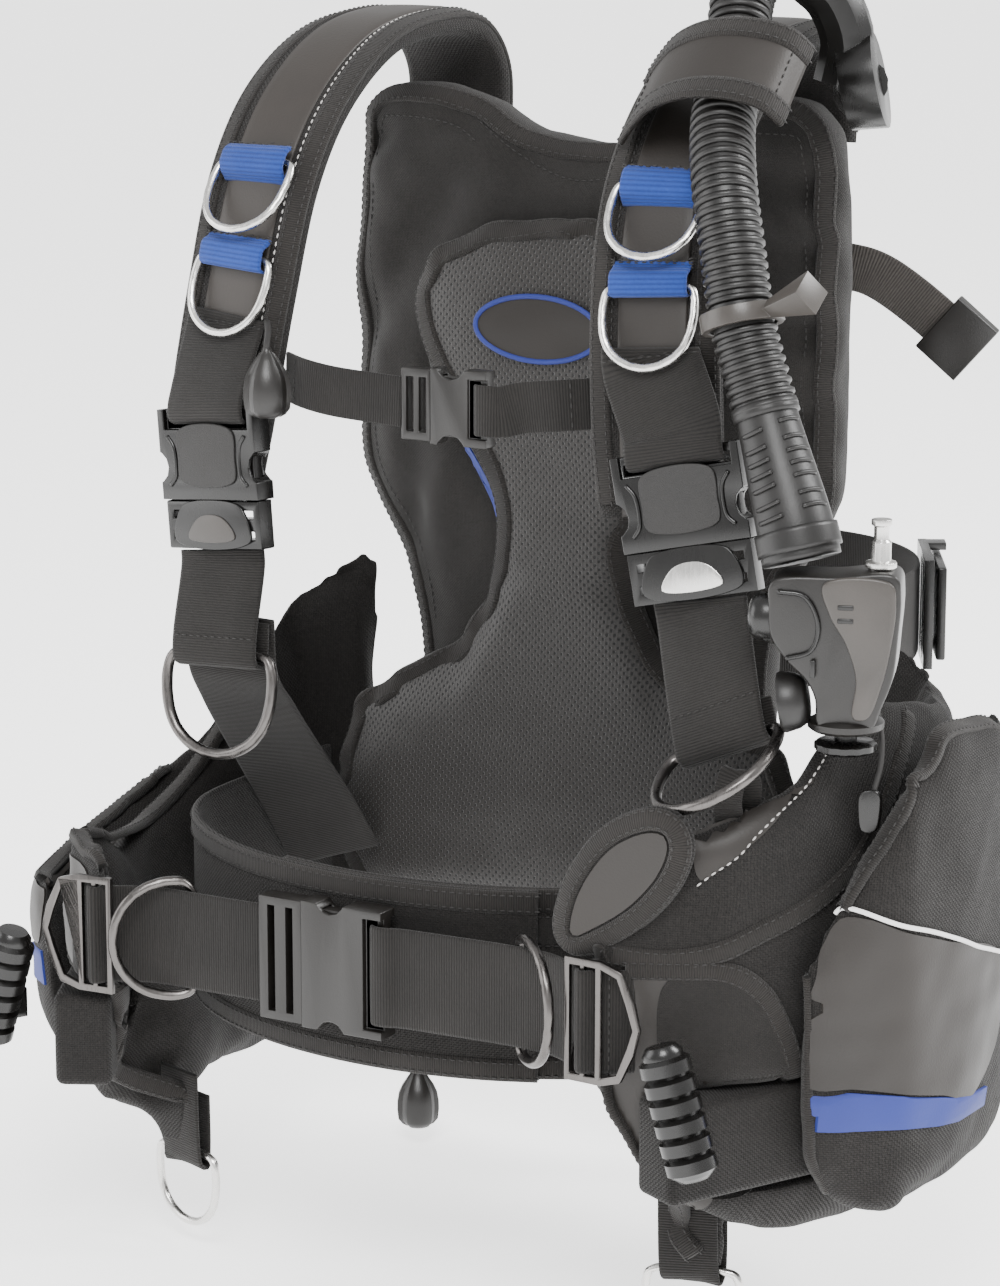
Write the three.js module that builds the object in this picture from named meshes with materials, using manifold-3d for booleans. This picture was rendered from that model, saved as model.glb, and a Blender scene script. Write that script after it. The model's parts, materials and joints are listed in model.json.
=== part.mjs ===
// Buoyancy compensator vest for scuba diving, shaped as it sits on a diver's torso.
// Millimetres, +Z up, the diver faces -Y. Left and right are the diver's: left is +X.
// The origin is the flat land of the backpack plate that the cylinder bears on.
import * as THREE from "three";
import { mergeVertices } from "three/addons/utils/BufferGeometryUtils.js";
import Module from "manifold-3d";

const wasm = await Module();
wasm.setup();

// ---------- driving dimensions ----------
const fit = 0.5; // gap between sewn or seated pieces
const slide = 0.6; // clearance round a piece that slides

const webbing = { wide: 50, narrow: 24, thick: 2.2 };
// The jacket wraps the torso on a superellipse in plan.
const wrap = { halfWidth: 250, halfDepth: 142, power: 2.6, centreY: -95 };
const plateLandY = 70; // how far the plate's land is behind the torso's middle plane
const bladder = { front: 9, depth: 36, edge: 8 };
const pad = { front: -18, back: 8.4, edge: 7 };
const plate = { thick: 6, tankRadius: 102, top: 150, bottom: -262, spine: 26, wing: 70 };
const belt = { halfWidth: 150.6, halfDepth: 109, height: 93, middle: -139, thick: 4 };
const waistLine = { y: -217, z: -134 };
const strapPad = { back: 60, chest: 64, thick: 14, end: 60 };
const ring = { wire: 2.4, width: 45, drop: 39 };
const lowRing = { wire: 3.2, width: 62, drop: 50 };
const wire = { sides: 6, steps: 20 };
const hose = { radius: 15, cuffRadius: 19, sides: 10, steps: 32 };
const pouch = { length: 108, thick: 28, top: -167, bottom: -214 };
const handle = { radius: 12, length: 60 };
const band = { middle: -30, thick: 2.6, slack: 1 };
const clipWall = 4;
const sides = ["left", "right"];

const colours = {
  cordura: ["#262423", 0.92, 0],
  lining: ["#3a3634", 0.85, 0],
  mesh: ["#211f1e", 0.95, 0],
  webbing: ["#2c2a29", 0.9, 0],
  blue: ["#3d57b5", 0.8, 0],
  plastic: ["#1b1a1a", 0.45, 0],
  greyPlastic: ["#6d6a68", 0.5, 0],
  rubber: ["#2b2827", 0.6, 0],
  steel: ["#c9c7c3", 0.25, 1],
  darkSteel: ["#4a4644", 0.35, 1],
};

// ---------- helpers ----------
const V = (x, y, z) => new THREE.Vector3(x, y, z);
const materials = Object.fromEntries(
  Object.entries(colours).map(([name, [color, roughness, metalness]]) => [
    name,
    new THREE.MeshStandardMaterial({ color, roughness, metalness }),
  ]),
);

const vest = new THREE.Group();
vest.position.y = -plateLandY;

function add(name, geometry, material, matrix) {
  const mesh = new THREE.Mesh(geometry, materials[material]);
  mesh.name = name;
  if (matrix) mesh.applyMatrix4(matrix);
  vest.add(mesh);
  return mesh;
}

// A closed body through rings of points that all have the same count.
function loft(rings, closed = false) {
  const count = rings[0].length;
  const points = rings.flat();
  const faces = [];
  const last = closed ? rings.length : rings.length - 1;
  for (let i = 0; i < last; i++)
    for (let j = 0; j < count; j++) {
      const a = i * count + j;
      const b = i * count + ((j + 1) % count);
      const next = ((i + 1) % rings.length) * count;
      const c = next + j;
      const d = next + ((j + 1) % count);
      faces.push(a, b, c, b, d, c);
    }
  if (!closed)
    for (const [ring, flip] of [[0, true], [rings.length - 1, false]]) {
      const middle = points.length;
      points.push(rings[ring].reduce((sum, p) => sum.add(p), V(0, 0, 0)).divideScalar(count));
      for (let j = 0; j < count; j++) {
        const a = ring * count + j;
        const b = ring * count + ((j + 1) % count);
        faces.push(...(flip ? [middle, b, a] : [middle, a, b]));
      }
    }
  let volume = 0;
  for (let i = 0; i < faces.length; i += 3) {
    const [a, b, c] = [points[faces[i]], points[faces[i + 1]], points[faces[i + 2]]];
    volume += a.dot(b.clone().cross(c));
  }
  if (volume < 0)
    for (let i = 0; i < faces.length; i += 3) [faces[i + 1], faces[i + 2]] = [faces[i + 2], faces[i + 1]];
  return new THREE.BufferGeometry().setFromPoints(points).setIndex(faces);
}

function toSolid(geometry, matrix) {
  let plain = geometry.clone();
  if (matrix) plain.applyMatrix4(matrix);
  plain.deleteAttribute("normal");
  plain.deleteAttribute("uv");
  plain = mergeVertices(plain, 1e-3);
  return new wasm.Manifold(
    new wasm.Mesh({
      numProp: 3,
      vertProperties: new Float32Array(plain.attributes.position.array),
      triVerts: new Uint32Array(plain.index.array),
    }),
  );
}

function toGeometry(solid) {
  const mesh = solid.getMesh();
  return new THREE.BufferGeometry()
    .setAttribute("position", new THREE.BufferAttribute(new Float32Array(mesh.vertProperties), 3))
    .setIndex(new THREE.BufferAttribute(new Uint32Array(mesh.triVerts), 1));
}

function box(x0, x1, y0, y1, z0, z1) {
  const size = [x1 - x0, y1 - y0, z1 - z0].map(Math.abs);
  return new THREE.BoxGeometry(...size).translate((x0 + x1) / 2, (y0 + y1) / 2, (z0 + z1) / 2);
}

// Cuts and joins lists of geometries from and to a body.
function carve(body, { cut = [], join = [] }) {
  let solid = toSolid(body);
  for (const extra of join) solid = solid.add(toSolid(extra));
  for (const tool of cut) solid = solid.subtract(toSolid(tool));
  const parts = solid.decompose().sort((a, b) => b.volume() - a.volume());
  return toGeometry(parts[0]);
}

const outline = (points) => new THREE.Shape(points.map(([x, y]) => new THREE.Vector2(x, y)));
const mirrored = (half) => [...half, ...half.slice().reverse().filter(([x]) => x > 0).map(([x, z]) => [-x, z])];

// A flat outline in X and Z made into a cushion from y0 back to y1.
function cushion(points, y0, y1, edge) {
  return new THREE.ExtrudeGeometry(outline(points), {
    depth: y1 - y0 - 2 * edge,
    bevelThickness: edge,
    bevelSize: edge,
    bevelOffset: -edge,
    bevelSegments: 2,
  })
    .rotateX(Math.PI / 2)
    .translate(0, y1 - edge, 0);
}

// A strap's centre line, with the direction of its width at each point.
class Track {
  constructor(points, wides) {
    this.curve = new THREE.CatmullRomCurve3(points.map((p) => V(...p)), false, "centripetal");
    this.wides = wides.map((w) => V(...w).normalize());
  }
  at(u) {
    const point = this.curve.getPoint(u);
    const tangent = this.curve.getTangent(u).normalize();
    const place = u * (this.wides.length - 1);
    const i = Math.min(Math.floor(place), this.wides.length - 2);
    const wide = this.wides[i].clone().lerp(this.wides[i + 1], place - i);
    wide.addScaledVector(tangent, -wide.dot(tangent)).normalize();
    return { point, tangent, wide, normal: tangent.clone().cross(wide) };
  }
  // A frame at u: X across the strap, Y back up it, Z out of it.
  seat(u, lift = 0, across = 0) {
    const { point, tangent, wide, normal } = this.at(u);
    const origin = point.clone().addScaledVector(normal, lift).addScaledVector(wide, across);
    return new THREE.Matrix4().makeBasis(wide, tangent.clone().negate(), normal).setPosition(origin);
  }
}

// A strap along a track: square-edged webbing, or padded with sloping edges.
function ribbon(track, { from = 0, to = 1, steps = 12, width, thick, lift = () => 0, slope = 0 }) {
  const rings = [];
  for (let i = 0; i <= steps; i++) {
    const u = from + ((to - from) * i) / steps;
    const { point, wide, normal } = track.at(u);
    const half = (typeof width === "function" ? width(u) : width) / 2;
    const section = slope
      ? [[half, 0], [half - slope, thick / 2], [slope - half, thick / 2], [-half, 0], [slope - half, -thick / 2], [half - slope, -thick / 2]]
      : [[half, -thick / 2], [half, thick / 2], [-half, thick / 2], [-half, -thick / 2]];
    rings.push(section.map(([x, z]) => point.clone().addScaledVector(wide, x).addScaledVector(normal, z + lift(u))));
  }
  return loft(rings);
}

// A D-shaped wire ring: its bar along X at the origin, its bow hanging to -Y.
function dRing({ wire: thick, width, drop }) {
  const half = width / 2;
  const bow = [];
  for (let a = 0; a <= 180; a += 30) {
    const t = (a * Math.PI) / 180;
    bow.push(V(half * Math.cos(t), -(drop - half) * Math.min(1, 3 * Math.sin(t)) - half * Math.sin(t) * 0.98, 0));
  }
  const shoulder = -(drop - half) * 0.6 - 2;
  const points = [
    V(half * 0.93, -0.8, 0), V(half, shoulder, 0), ...bow.slice(1, -1), V(-half, shoulder, 0), V(-half * 0.93, -0.8, 0),
    V(-half * 0.865, 0, 0), V(0, 0, 0), V(half * 0.865, 0, 0),
  ];
  const curve = new THREE.CatmullRomCurve3(points, true, "centripetal");
  return new THREE.TubeGeometry(curve, wire.steps, thick, wire.sides, true);
}

// A side-release buckle for a strap of width w. Y runs up the strap; the mouth is at Y = 0.
const buckle = { wall: 3, thick: 12, skin: 2.4, female: 44, male: 24, prong: 25, side: 6 };
function femaleBuckle(w, thick) {
  const half = w / 2 + buckle.side;
  const long = buckle.female * (0.4 + 0.012 * w);
  const body = box(-half, half, 0, long, -thick / 2, thick / 2);
  const cavity = box(buckle.wall - half, half - buckle.wall, -1, long - 13, buckle.skin - thick / 2, thick / 2 - buckle.skin);
  const slot = box(-w / 2 - 1, w / 2 + 1, long - 9, long - 4, -thick, thick);
  const notch = (s) =>
    new THREE.CylinderGeometry(8, 8, 2 * thick, 12).rotateX(Math.PI / 2).translate(s * (half + 3), long * 0.36, 0);
  const barEnds = [-1, 1].map((s) => box(-w / 2 - 2, w / 2 + 2, long - 10, long + 1, s * 3, s * thick));
  return carve(body, { cut: [cavity, slot, notch(1), notch(-1), ...barEnds] });
}
// How webbing comes over a female part's bar and down into its slot, in the buckle's frame.
const femaleLength = (w) => buckle.female * (0.4 + 0.012 * w);
function threaded(w, seat) {
  const long = femaleLength(w);
  const path = [[long - 6.8, -2], [long - 6.6, 2.2], [long - 5, 5], [long + 1.5, 5], [long + 8, 2.4]];
  return path.map(([y, z]) => V(0, y, z).applyMatrix4(seat));
}
function maleBuckle(w, thick) {
  const half = w / 2 + buckle.side;
  const long = buckle.male * (0.4 + 0.012 * w);
  const prong = buckle.prong * (0.4 + 0.012 * w);
  const inner = thick / 2 - buckle.skin - slide;
  const reach = half - buckle.wall - slide;
  const base = box(1 - half, half - 1, -long, -fit, -thick / 2 + 1, thick / 2 - 1);
  const fingers = [
    box(reach - 5, reach, -fit - 1, prong, -inner, inner),
    box(-reach, 5 - reach, -fit - 1, prong, -inner, inner),
    box(-4, 4, -fit - 1, prong * 0.9, -inner, inner),
  ];
  const slots = [long * 0.3, long * 0.72].map((y) => box(-w / 2 - 1, w / 2 + 1, -y - 2, -y + 2, -thick, thick));
  return carve(base, { join: fingers, cut: slots });
}

// A point on the jacket's plan curve: 0 degrees is the front, 90 the diver's left.
function wrapAt(degrees, grow = 0) {
  const t = (degrees * Math.PI) / 180;
  const [s, c] = [Math.sin(t), Math.cos(t)];
  const r = (Math.abs(s) ** wrap.power + Math.abs(c) ** wrap.power) ** (-1 / wrap.power);
  return V((wrap.halfWidth + grow) * r * s, wrap.centreY - (wrap.halfDepth + grow) * r * c, 0);
}
function wrapNormal(degrees) {
  const along = wrapAt(degrees + 1).sub(wrapAt(degrees - 1));
  return V(-along.y, along.x, 0).normalize().negate();
}
const ease = (t) => {
  const k = THREE.MathUtils.clamp(t, 0, 1);
  return k * k * (3 - 2 * k);
};

// ---------- the soft jacket ----------
const bladderHalf = [
  [0, 248], [34, 252], [62, 266], [96, 272], [130, 268], [147, 250], [152, 200], [153, 120], [151, 62],
  [140, 34], [122, 6], [116, -40], [118, -215], [100, -238], [0, -240],
];
const padHalf = [
  [0, 206], [44, 202], [76, 186], [92, 158], [88, 124], [66, 78], [50, 44], [50, 14], [66, -20],
  [104, -44], [130, -64], [140, -96], [140, -150], [120, -172], [0, -176],
];
const grown = (points, by) => points.map(([x, z]) => [x + (x > 0 ? by : 0), z + (z > 0 ? by : -by)]);
const bladderBody = (by = 0) =>
  cushion(mirrored(grown(bladderHalf, by)), bladder.front - by, bladder.front + bladder.depth + by, bladder.edge);
add("back_bladder", bladderBody(), "cordura");
add("back_pad", cushion(mirrored(padHalf), pad.front, pad.back, pad.edge), "mesh");

// Wing bladders: at each angle the lower and upper edge and the thickness.
const wingStations = {
  left: [
    [29, -166, -94, 8], [31, -186, -66, 15], [36, -222, -46, 24], [44, -242, -34, 40], [54, -252, -20, 52],
    [66, -254, 0, 56], [80, -254, 8, 54], [95, -256, 6, 50], [110, -258, 0, 42], [124, -256, -2, 32],
    [136, -246, 4, 24], [146, -224, 18, 18], [151, -206, 22, 14],
  ],
  right: [
    [29, -166, -98, 8], [31, -186, -92, 15], [36, -222, -90, 24], [44, -242, -92, 40], [54, -252, -100, 52],
    [66, -254, -110, 56], [80, -254, -106, 54], [95, -256, -95, 50], [110, -258, -76, 42], [124, -256, -34, 32],
    [136, -246, -4, 24], [146, -224, 14, 18], [151, -206, 20, 14],
  ],
};
// The right wing hangs lower and tucked in towards the middle, most at its foot.
const tuck = { side: { left: 0, right: 28 }, foot: { left: 0, right: 16 }, start: -172, reach: 84 };
const wingInset = (degrees) => 14 * ease((degrees - 46) / 14) * ease((138 - degrees) / 20);
function wingPoint(side, degrees, inset, z) {
  const p = wrapAt(degrees).addScaledVector(wrapNormal(degrees), -inset);
  const foot = tuck.foot[side] * ease((tuck.start - z) / tuck.reach);
  const shift = (tuck.side[side] * ease((degrees - 30) / 30) + foot) * ease((150 - degrees) / 30);
  return V((side === "left" ? 1 : -1) * (p.x - shift), p.y, z);
}
// The rim narrows towards the outer face.
function wing(side, stations, { inset, grow = 0, count = 12, square = 0.7, rim = 0.55 }) {
  return loft(
    stations.map(([degrees, low, high, thick]) =>
      Array.from({ length: count }, (_, i) => {
        const a = ((i + 0.5) * 2 * Math.PI) / count;
        const across = Math.sign(Math.cos(a)) * Math.abs(Math.cos(a)) ** square * (thick / 2 + grow);
        const up = Math.sign(Math.sin(a)) * Math.abs(Math.sin(a)) ** square * ((high - low) / 2 + grow);
        const lean = 1 - rim * ease((up / ((high - low) / 2) + 0.25) / 0.6);
        return wingPoint(side, degrees, inset(degrees) + (thick / 2 + across) * lean, (high + low) / 2 + up);
      }),
    ),
  );
}
// Cargo pockets bulge out of the wings.
const pocketStations = {
  left: [
    [53, -208, -104, 16], [58, -230, -70, 30], [68, -238, -22, 38], [80, -240, 0, 42], [98, -240, -2, 42],
    [112, -236, -10, 36], [124, -224, -22, 24],
  ],
  right: [
    [53, -208, -124, 16], [58, -230, -120, 30], [68, -238, -122, 38], [80, -240, -116, 42], [98, -240, -104, 42],
    [112, -236, -92, 36], [124, -224, -64, 24],
  ],
};
const pocketInset = (degrees) => -16 * ease((degrees - 50) / 16) * ease((132 - degrees) / 16);

// A length of webbing from a to b that turns round a bar at b and comes back up by `back`.
function turnPath(bar, up, out, { thick = webbing.thick, radius, rise, back, ease = 0.45 }) {
  const r = radius + slide + ease + thick / 2;
  const at = (a, b) => bar.clone().addScaledVector(up, a).addScaledVector(out, b);
  const bend = [0, 30, 60, 90, 120, 150, 180].map((a) => (a * Math.PI) / 180);
  return [at(rise, r), ...bend.map((a) => at(-r * Math.sin(a), r * Math.cos(a))), at(back, -r)];
}
// Webbing with a section at every given point; wides holds its width direction, once or for each point.
function webThrough(points, wides, width, thick = webbing.thick) {
  const wideAt = (i) => (Array.isArray(wides) ? wides[i] : wides);
  return loft(
    points.map((p, i) => {
      const ahead = points[Math.min(i + 1, points.length - 1)];
      const behind = points[Math.max(i - 1, 0)];
      const along = ahead.clone().sub(p).normalize().add(p.clone().sub(behind).normalize()).normalize();
      const wide = wideAt(i).clone().addScaledVector(along, -wideAt(i).dot(along)).normalize();
      const normal = along.clone().cross(wide).multiplyScalar(thick / 2);
      const half = (typeof width === "function" ? width(p) : width) / 2;
      return [[1, -1], [1, 1], [-1, 1], [-1, -1]].map(([x, z]) =>
        p.clone().addScaledVector(wide, x * half).addScaledVector(normal, z));
    }),
  );
}

// Weight pouches slide along their pull direction out of a channel in the wing.
const pull = V(-0.454, -0.891, 0);
const pouchBack = { left: V(218, -134, 0), right: V(-194, -134, 0) };
function alongPull(side, from, to, thick, low, high) {
  const s = side === "left" ? 1 : -1;
  const d = V(s * pull.x, pull.y, 0);
  const frame = new THREE.Matrix4().makeBasis(d, V(-d.y, d.x, 0), V(0, 0, 1));
  frame.setPosition(pouchBack[side]);
  return box(from, to, -thick / 2, thick / 2, low, high).applyMatrix4(frame);
}

const tailBar = { left: V(160, -172, -268), right: V(-134, -158, -266) };
const tailTab = 28;
for (const side of sides) {
  const s = side === "left" ? 1 : -1;
  const channel = alongPull(side, -2, 160, pouch.thick + 2 * slide, pouch.bottom - slide, pouch.top + slide);
  const tabPath = turnPath(tailBar[side], V(0, 0, 1), V(0, -1, 0), { radius: ring.wire, rise: 44, back: 44 });
  const tab = webThrough(tabPath, V(1, s * 0.3, 0), tailTab);
  const shell = carve(wing(side, wingStations[side], { inset: wingInset }), {
    join: [tab],
    cut: [bladderBody(fit), channel],
  });
  add(`wing_bladder_${side}`, shell, "cordura");
  const pocket = carve(wing(side, pocketStations[side], { inset: pocketInset, count: 10 }), {
    cut: [wing(side, wingStations[side], { inset: wingInset, grow: fit }), channel],
  });
  add(`cargo_pocket_${side}`, pocket, "cordura");
  add(`weight_pouch_${side}`, alongPull(side, 0, pouch.length, pouch.thick, pouch.bottom, pouch.top), "cordura");
  const grip = new THREE.CylinderGeometry(handle.radius, handle.radius, handle.length, 10)
    .rotateX(Math.PI / 2)
    .rotateY(s * -0.3)
    .translate(s * 190, -240, -166);
  const along = V(s * pull.x, pull.y, 0);
  const mouthOf = pouchBack[side].clone().addScaledVector(along, pouch.length + 4);
  const armRun = V(s * 187 - mouthOf.x, -239 - mouthOf.y, 0);
  const arm = new THREE.BoxGeometry(armRun.length() + 8, 6, 16)
    .rotateZ(Math.atan2(armRun.y, armRun.x))
    .translate(mouthOf.x + armRun.x / 2, mouthOf.y + armRun.y / 2, -178);
  const stop = alongPull(side, 0, pouch.length + fit, pouch.thick + 2 * fit, -260, -100);
  add(`weight_handle_${side}`, carve(grip, { join: [arm], cut: [stop] }), "plastic");
  const tailRing = dRing(ring);
  const tailSeat = new THREE.Matrix4().makeBasis(V(1, s * 0.3, 0).normalize(), V(0, 0, 1), V(s * 0.3, -1, 0).normalize());
  add(`tail_ring_${side}`, tailRing, "steel", tailSeat.setPosition(tailBar[side]));
}

// ---------- backpack plate and cylinder straps ----------
const tankY = plateLandY + plate.tankRadius;
const landHalf = 24;
const bandRadius = plate.tankRadius + band.slack + band.thick / 2;
const wingBack = tankY - Math.sqrt((bandRadius + band.thick + 1) ** 2 - plate.wing ** 2);
const plateFront = bladder.front + bladder.depth + fit;
const plateShape = outline([
  [-plate.spine, plateFront], [plate.spine, plateFront], [plate.spine, plateLandY - plate.thick],
  [plate.wing, wingBack - plate.thick], [plate.wing, wingBack], [landHalf, plateLandY],
  [-landHalf, plateLandY], [-plate.wing, wingBack], [-plate.wing, wingBack - plate.thick],
  [-plate.spine, plateLandY - plate.thick],
]);
const plateBlank = new THREE.ExtrudeGeometry(plateShape, { depth: plate.top - plate.bottom, bevelEnabled: false });
plateBlank.translate(0, 0, plate.bottom);
const slotHalf = webbing.wide / 2 + 1.5;
const bandSlots = [-1, 1].map((s) =>
  box(s * 54 - 10, s * 54 + 10, 60, 100, band.middle - slotHalf, band.middle + slotHalf),
);
const spineSlot = box(-40, 40, 54, 60.5, band.middle - slotHalf, band.middle + slotHalf);
const gripHole = box(-80, 80, 53, 61, plate.top - 46, plate.top - 16);
const gripWindow = box(-22, 22, 40, 80, plate.top - 46, plate.top - 16);
add("backpack_plate", carve(plateBlank, { cut: [...bandSlots, spineSlot, gripHole, gripWindow] }), "plastic");

// The band goes round the cylinder, in through the plate's slots and behind its spine.
const bandPath = [V(0, 57.3, 0), V(28, 57.8, 0), V(43, 62, 0), V(51, 78.5, 0)];
for (let a = 38; a < 180; a += 15) {
  const t = (a * Math.PI) / 180;
  bandPath.push(V(bandRadius * Math.sin(t), tankY - bandRadius * Math.cos(t), 0));
}
const bandLoop = [...bandPath, V(0, tankY + bandRadius, 0), ...bandPath.slice(1).reverse().map((p) => V(-p.x, p.y, 0))];
const bandCurve = new THREE.CatmullRomCurve3(bandLoop, true, "centripetal");
const bandRings = [];
for (let i = 0; i < 60; i++) {
  const p = bandCurve.getPoint(i / 60);
  const t = bandCurve.getTangent(i / 60);
  const n = V(t.y, -t.x, 0).normalize().multiplyScalar(band.thick / 2);
  const h = webbing.wide / 2;
  bandRings.push([[1, h], [-1, h], [-1, -h], [1, -h]].map(([k, z]) => V(p.x + k * n.x, p.y + k * n.y, band.middle + z)));
}
add("tank_band", loft(bandRings, true), "webbing");
// Cam buckle on the band's left side, with its lever hinged on the rear edge of the base.
const cam = { angle: 118, base: 62, thick: 5, lever: 66, pin: 3 };
const camReach = bandRadius + band.thick / 2 + fit + 1;
const camTurn = (cam.angle * Math.PI) / 180;
const camOut = V(Math.sin(camTurn), -Math.cos(camTurn), 0);
const camAlong = V(Math.cos(camTurn), Math.sin(camTurn), 0);
const camSeat = new THREE.Matrix4()
  .makeBasis(camAlong, V(0, 0, 1), camOut.clone())
  .setPosition(camOut.x * camReach, tankY + camOut.y * camReach, band.middle);
const camHalf = webbing.wide / 2 + 5;
const camBase = box(-cam.base / 2, cam.base / 2, -camHalf, camHalf, -1, cam.thick - 1);
const camEars = [-1, 1].map((s) => box(18, 30, s * (camHalf - 2) - 2, s * (camHalf - 2) + 2, 0, 14));
const camSlots = [-20, -6].map((x) => box(x - 2.5, x + 2.5, 1 - camHalf + 3, camHalf - 4, -9, 9));
add("tank_cam_buckle", carve(camBase, { join: camEars, cut: camSlots }), "plastic", camSeat);
const lever = box(-cam.lever / 2 + 4, 27, 4.5 - camHalf, camHalf - 4.5, 6, 11);
add("tank_cam_lever", lever, "plastic", camSeat);

const topStrap = new Track(
  [[64, 48, 178], [100, 60, 174], [127, 72, 170], [146, 82, 157], [178, 92, 129]],
  [[0.3, -0.05, 0.95], [0.5, 0, 0.85]],
);
add("tank_strap", ribbon(topStrap, { width: webbing.narrow, thick: 2, steps: 12 }), "webbing");
const strapSlider = { frame: 4, half: 17 };
const sliderAt = 0.93;
const sliderBody = carve(box(-strapSlider.half, strapSlider.half, -13, 13, -3.5, 3.5), {
  cut: [box(-webbing.narrow / 2 - 1, webbing.narrow / 2 + 1, -20, 20, -1.7, 1.7)],
});
add("tank_strap_slider", sliderBody, "plastic", topStrap.seat(sliderAt));

// ---------- shoulder straps and what they carry ----------
const strapHalfPath = [
  [98, 53, 236], [99, 53, 266], [101, 35, 286], [104, -5, 289], [107, -45, 280], [109, -85, 254],
  [110, -112, 218], [113, -126, 172], [118, -134, 125], [121, -137, 98], [123, -139, 80],
];
const strapWidth = (u) =>
  THREE.MathUtils.lerp(
    THREE.MathUtils.lerp(strapPad.back, strapPad.chest, ease((u - 0.3) / 0.2)),
    strapPad.end,
    ease((u - 0.8) / 0.2),
  );
const strapTracks = Object.fromEntries(
  sides.map((side) => {
    const s = side === "left" ? 1 : -1;
    const wide = [[1, 0, 0], [1, 0, 0], [1, s * 0.05, 0], [1, s * 0.12, 0], [1, s * 0.14, 0]];
    return [side, new Track(strapHalfPath.map(([x, y, z]) => [s * x, y, z]), wide)];
  }),
);
// Where a strap's centre line passes a height on the chest.
function heightOn(track, z) {
  let [low, high] = [0.45, 1];
  for (let i = 0; i < 30; i++) {
    const middle = (low + high) / 2;
    if (track.at(middle).point.z > z) low = middle;
    else high = middle;
  }
  return low;
}
const ringHeights = { upper: 224, lower: 182 };
const ringWebbing = { wide: 38, widens: 164 };
const [stripTop, stripEnd] = [238, 150];
const archReach = 0.0095;
const stripLift = strapPad.thick / 2 + fit + 0.4 + webbing.thick / 2;
const barLift = strapPad.thick / 2 + fit + ring.wire;
const bowLift = strapPad.thick / 2 + 2 * fit + webbing.thick + ring.wire + 2;
const archLift = barLift + ring.wire + 1 + webbing.thick / 2;
// Buckle frames: the mouth and the top end of each shoulder buckle.
const chestBuckle = {
  left: { mouth: V(146, -154, 71), top: V(137, -151.5, 112) },
  right: { mouth: V(-111, -155, 69), top: V(-115, -153.5, 110) },
};
const buckleThick = { shoulder: 12, waist: 13, sternum: 9 };
const lowBar = { left: V(175, -174, -13), right: V(-106, -163, -6) };
// The left ring lies over the rim of its wing.
const lowSwing = { left: 0.85, right: 0 };
const lowEase = { left: 0.5, right: 0.45 };
// The right webbing carries on from behind the ring to the waist.
const anchor = [[-106, -152, 12], [-107, -151, -14], [-113, -128, -38], [-120, -92, -72], [-123, -60, -106], [-123, -34, -140]];
for (const side of sides) {
  const s = side === "left" ? 1 : -1;
  const track = strapTracks[side];
  add(
    `shoulder_strap_${side}`,
    ribbon(track, { width: strapWidth, thick: strapPad.thick, steps: 26, slope: 5 }),
    "cordura",
  );
  // Ring webbing lies on the strap, arches over each ring's bar and runs down to the buckle.
  const bars = Object.values(ringHeights).map((z) => heightOn(track, z));
  const [first, last] = [stripTop, stripEnd].map((z) => heightOn(track, z));
  const points = [];
  const wides = [];
  for (let i = 0; i <= 26; i++) {
    const u = first + ((last - first) * i) / 26;
    const { point, normal, wide } = track.at(u);
    const near = Math.min(...bars.map((bar) => Math.abs(u - bar)));
    points.push(point.addScaledVector(normal, stripLift + (archLift - stripLift) * ease(2 - near / archReach)));
    wides.push(wide);
  }
  const { mouth, top } = chestBuckle[side];
  const up = top.clone().sub(mouth).normalize();
  const across = up.clone().cross(V(s * 0.14, -1, 0)).normalize();
  const out = across.clone().cross(up).normalize();
  const seat = new THREE.Matrix4().makeBasis(across, up, out).setPosition(mouth);
  for (const p of threaded(webbing.wide, seat).reverse()) {
    points.push(p);
    wides.push(across);
  }
  const widen = (p) => THREE.MathUtils.lerp(ringWebbing.wide, webbing.wide - 2, ease((ringWebbing.widens - p.z) / 8));
  add(`ring_webbing_${side}`, webThrough(points, wides, widen), "blue");
  Object.keys(ringHeights).forEach((level, i) => {
    const tilt = new THREE.Matrix4().makeRotationX(-Math.asin((bowLift - barLift) / ring.drop));
    add(`shoulder_ring_${level}_${side}`, dRing(ring), "steel", track.seat(bars[i], barLift).multiply(tilt));
  });
  add(`shoulder_buckle_female_${side}`, femaleBuckle(webbing.wide, buckleThick.shoulder), "plastic", seat);
  add(`shoulder_buckle_male_${side}`, maleBuckle(webbing.wide, buckleThick.shoulder), "plastic", seat);
  // Lower webbing from the male part to the large ring.
  const start = mouth.clone().addScaledVector(up, -buckle.male * (0.4 + 0.012 * webbing.wide) - 0.8);
  const straight = start.clone().addScaledVector(up, -6);
  const hang = lowBar[side].clone().sub(straight).normalize().negate();
  const outLow = V(0, -1, 0).addScaledVector(hang, hang.y).normalize();
  const turn = turnPath(lowBar[side], hang, outLow, { radius: lowRing.wire, rise: 10, back: 16, ease: lowEase[side] });
  const lowWide = hang.clone().cross(outLow);
  add(`lower_webbing_${side}`, webThrough([start, straight, ...turn], lowWide, webbing.wide - 2), "webbing");
  const ringSeat = new THREE.Matrix4().makeBasis(lowWide, hang, lowWide.clone().cross(hang)).setPosition(lowBar[side]);
  const swing = new THREE.Matrix4().makeRotationX(-lowSwing[side]);
  add(`lower_ring_${side}`, dRing(lowRing), "darkSteel", ringSeat.multiply(swing));
}

add(
  "anchor_webbing",
  webThrough(anchor.map((p) => V(...p)), anchor.map((_, i) => V(1, 0.12 * i, 0)), webbing.wide - 2),
  "webbing",
);

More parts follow.
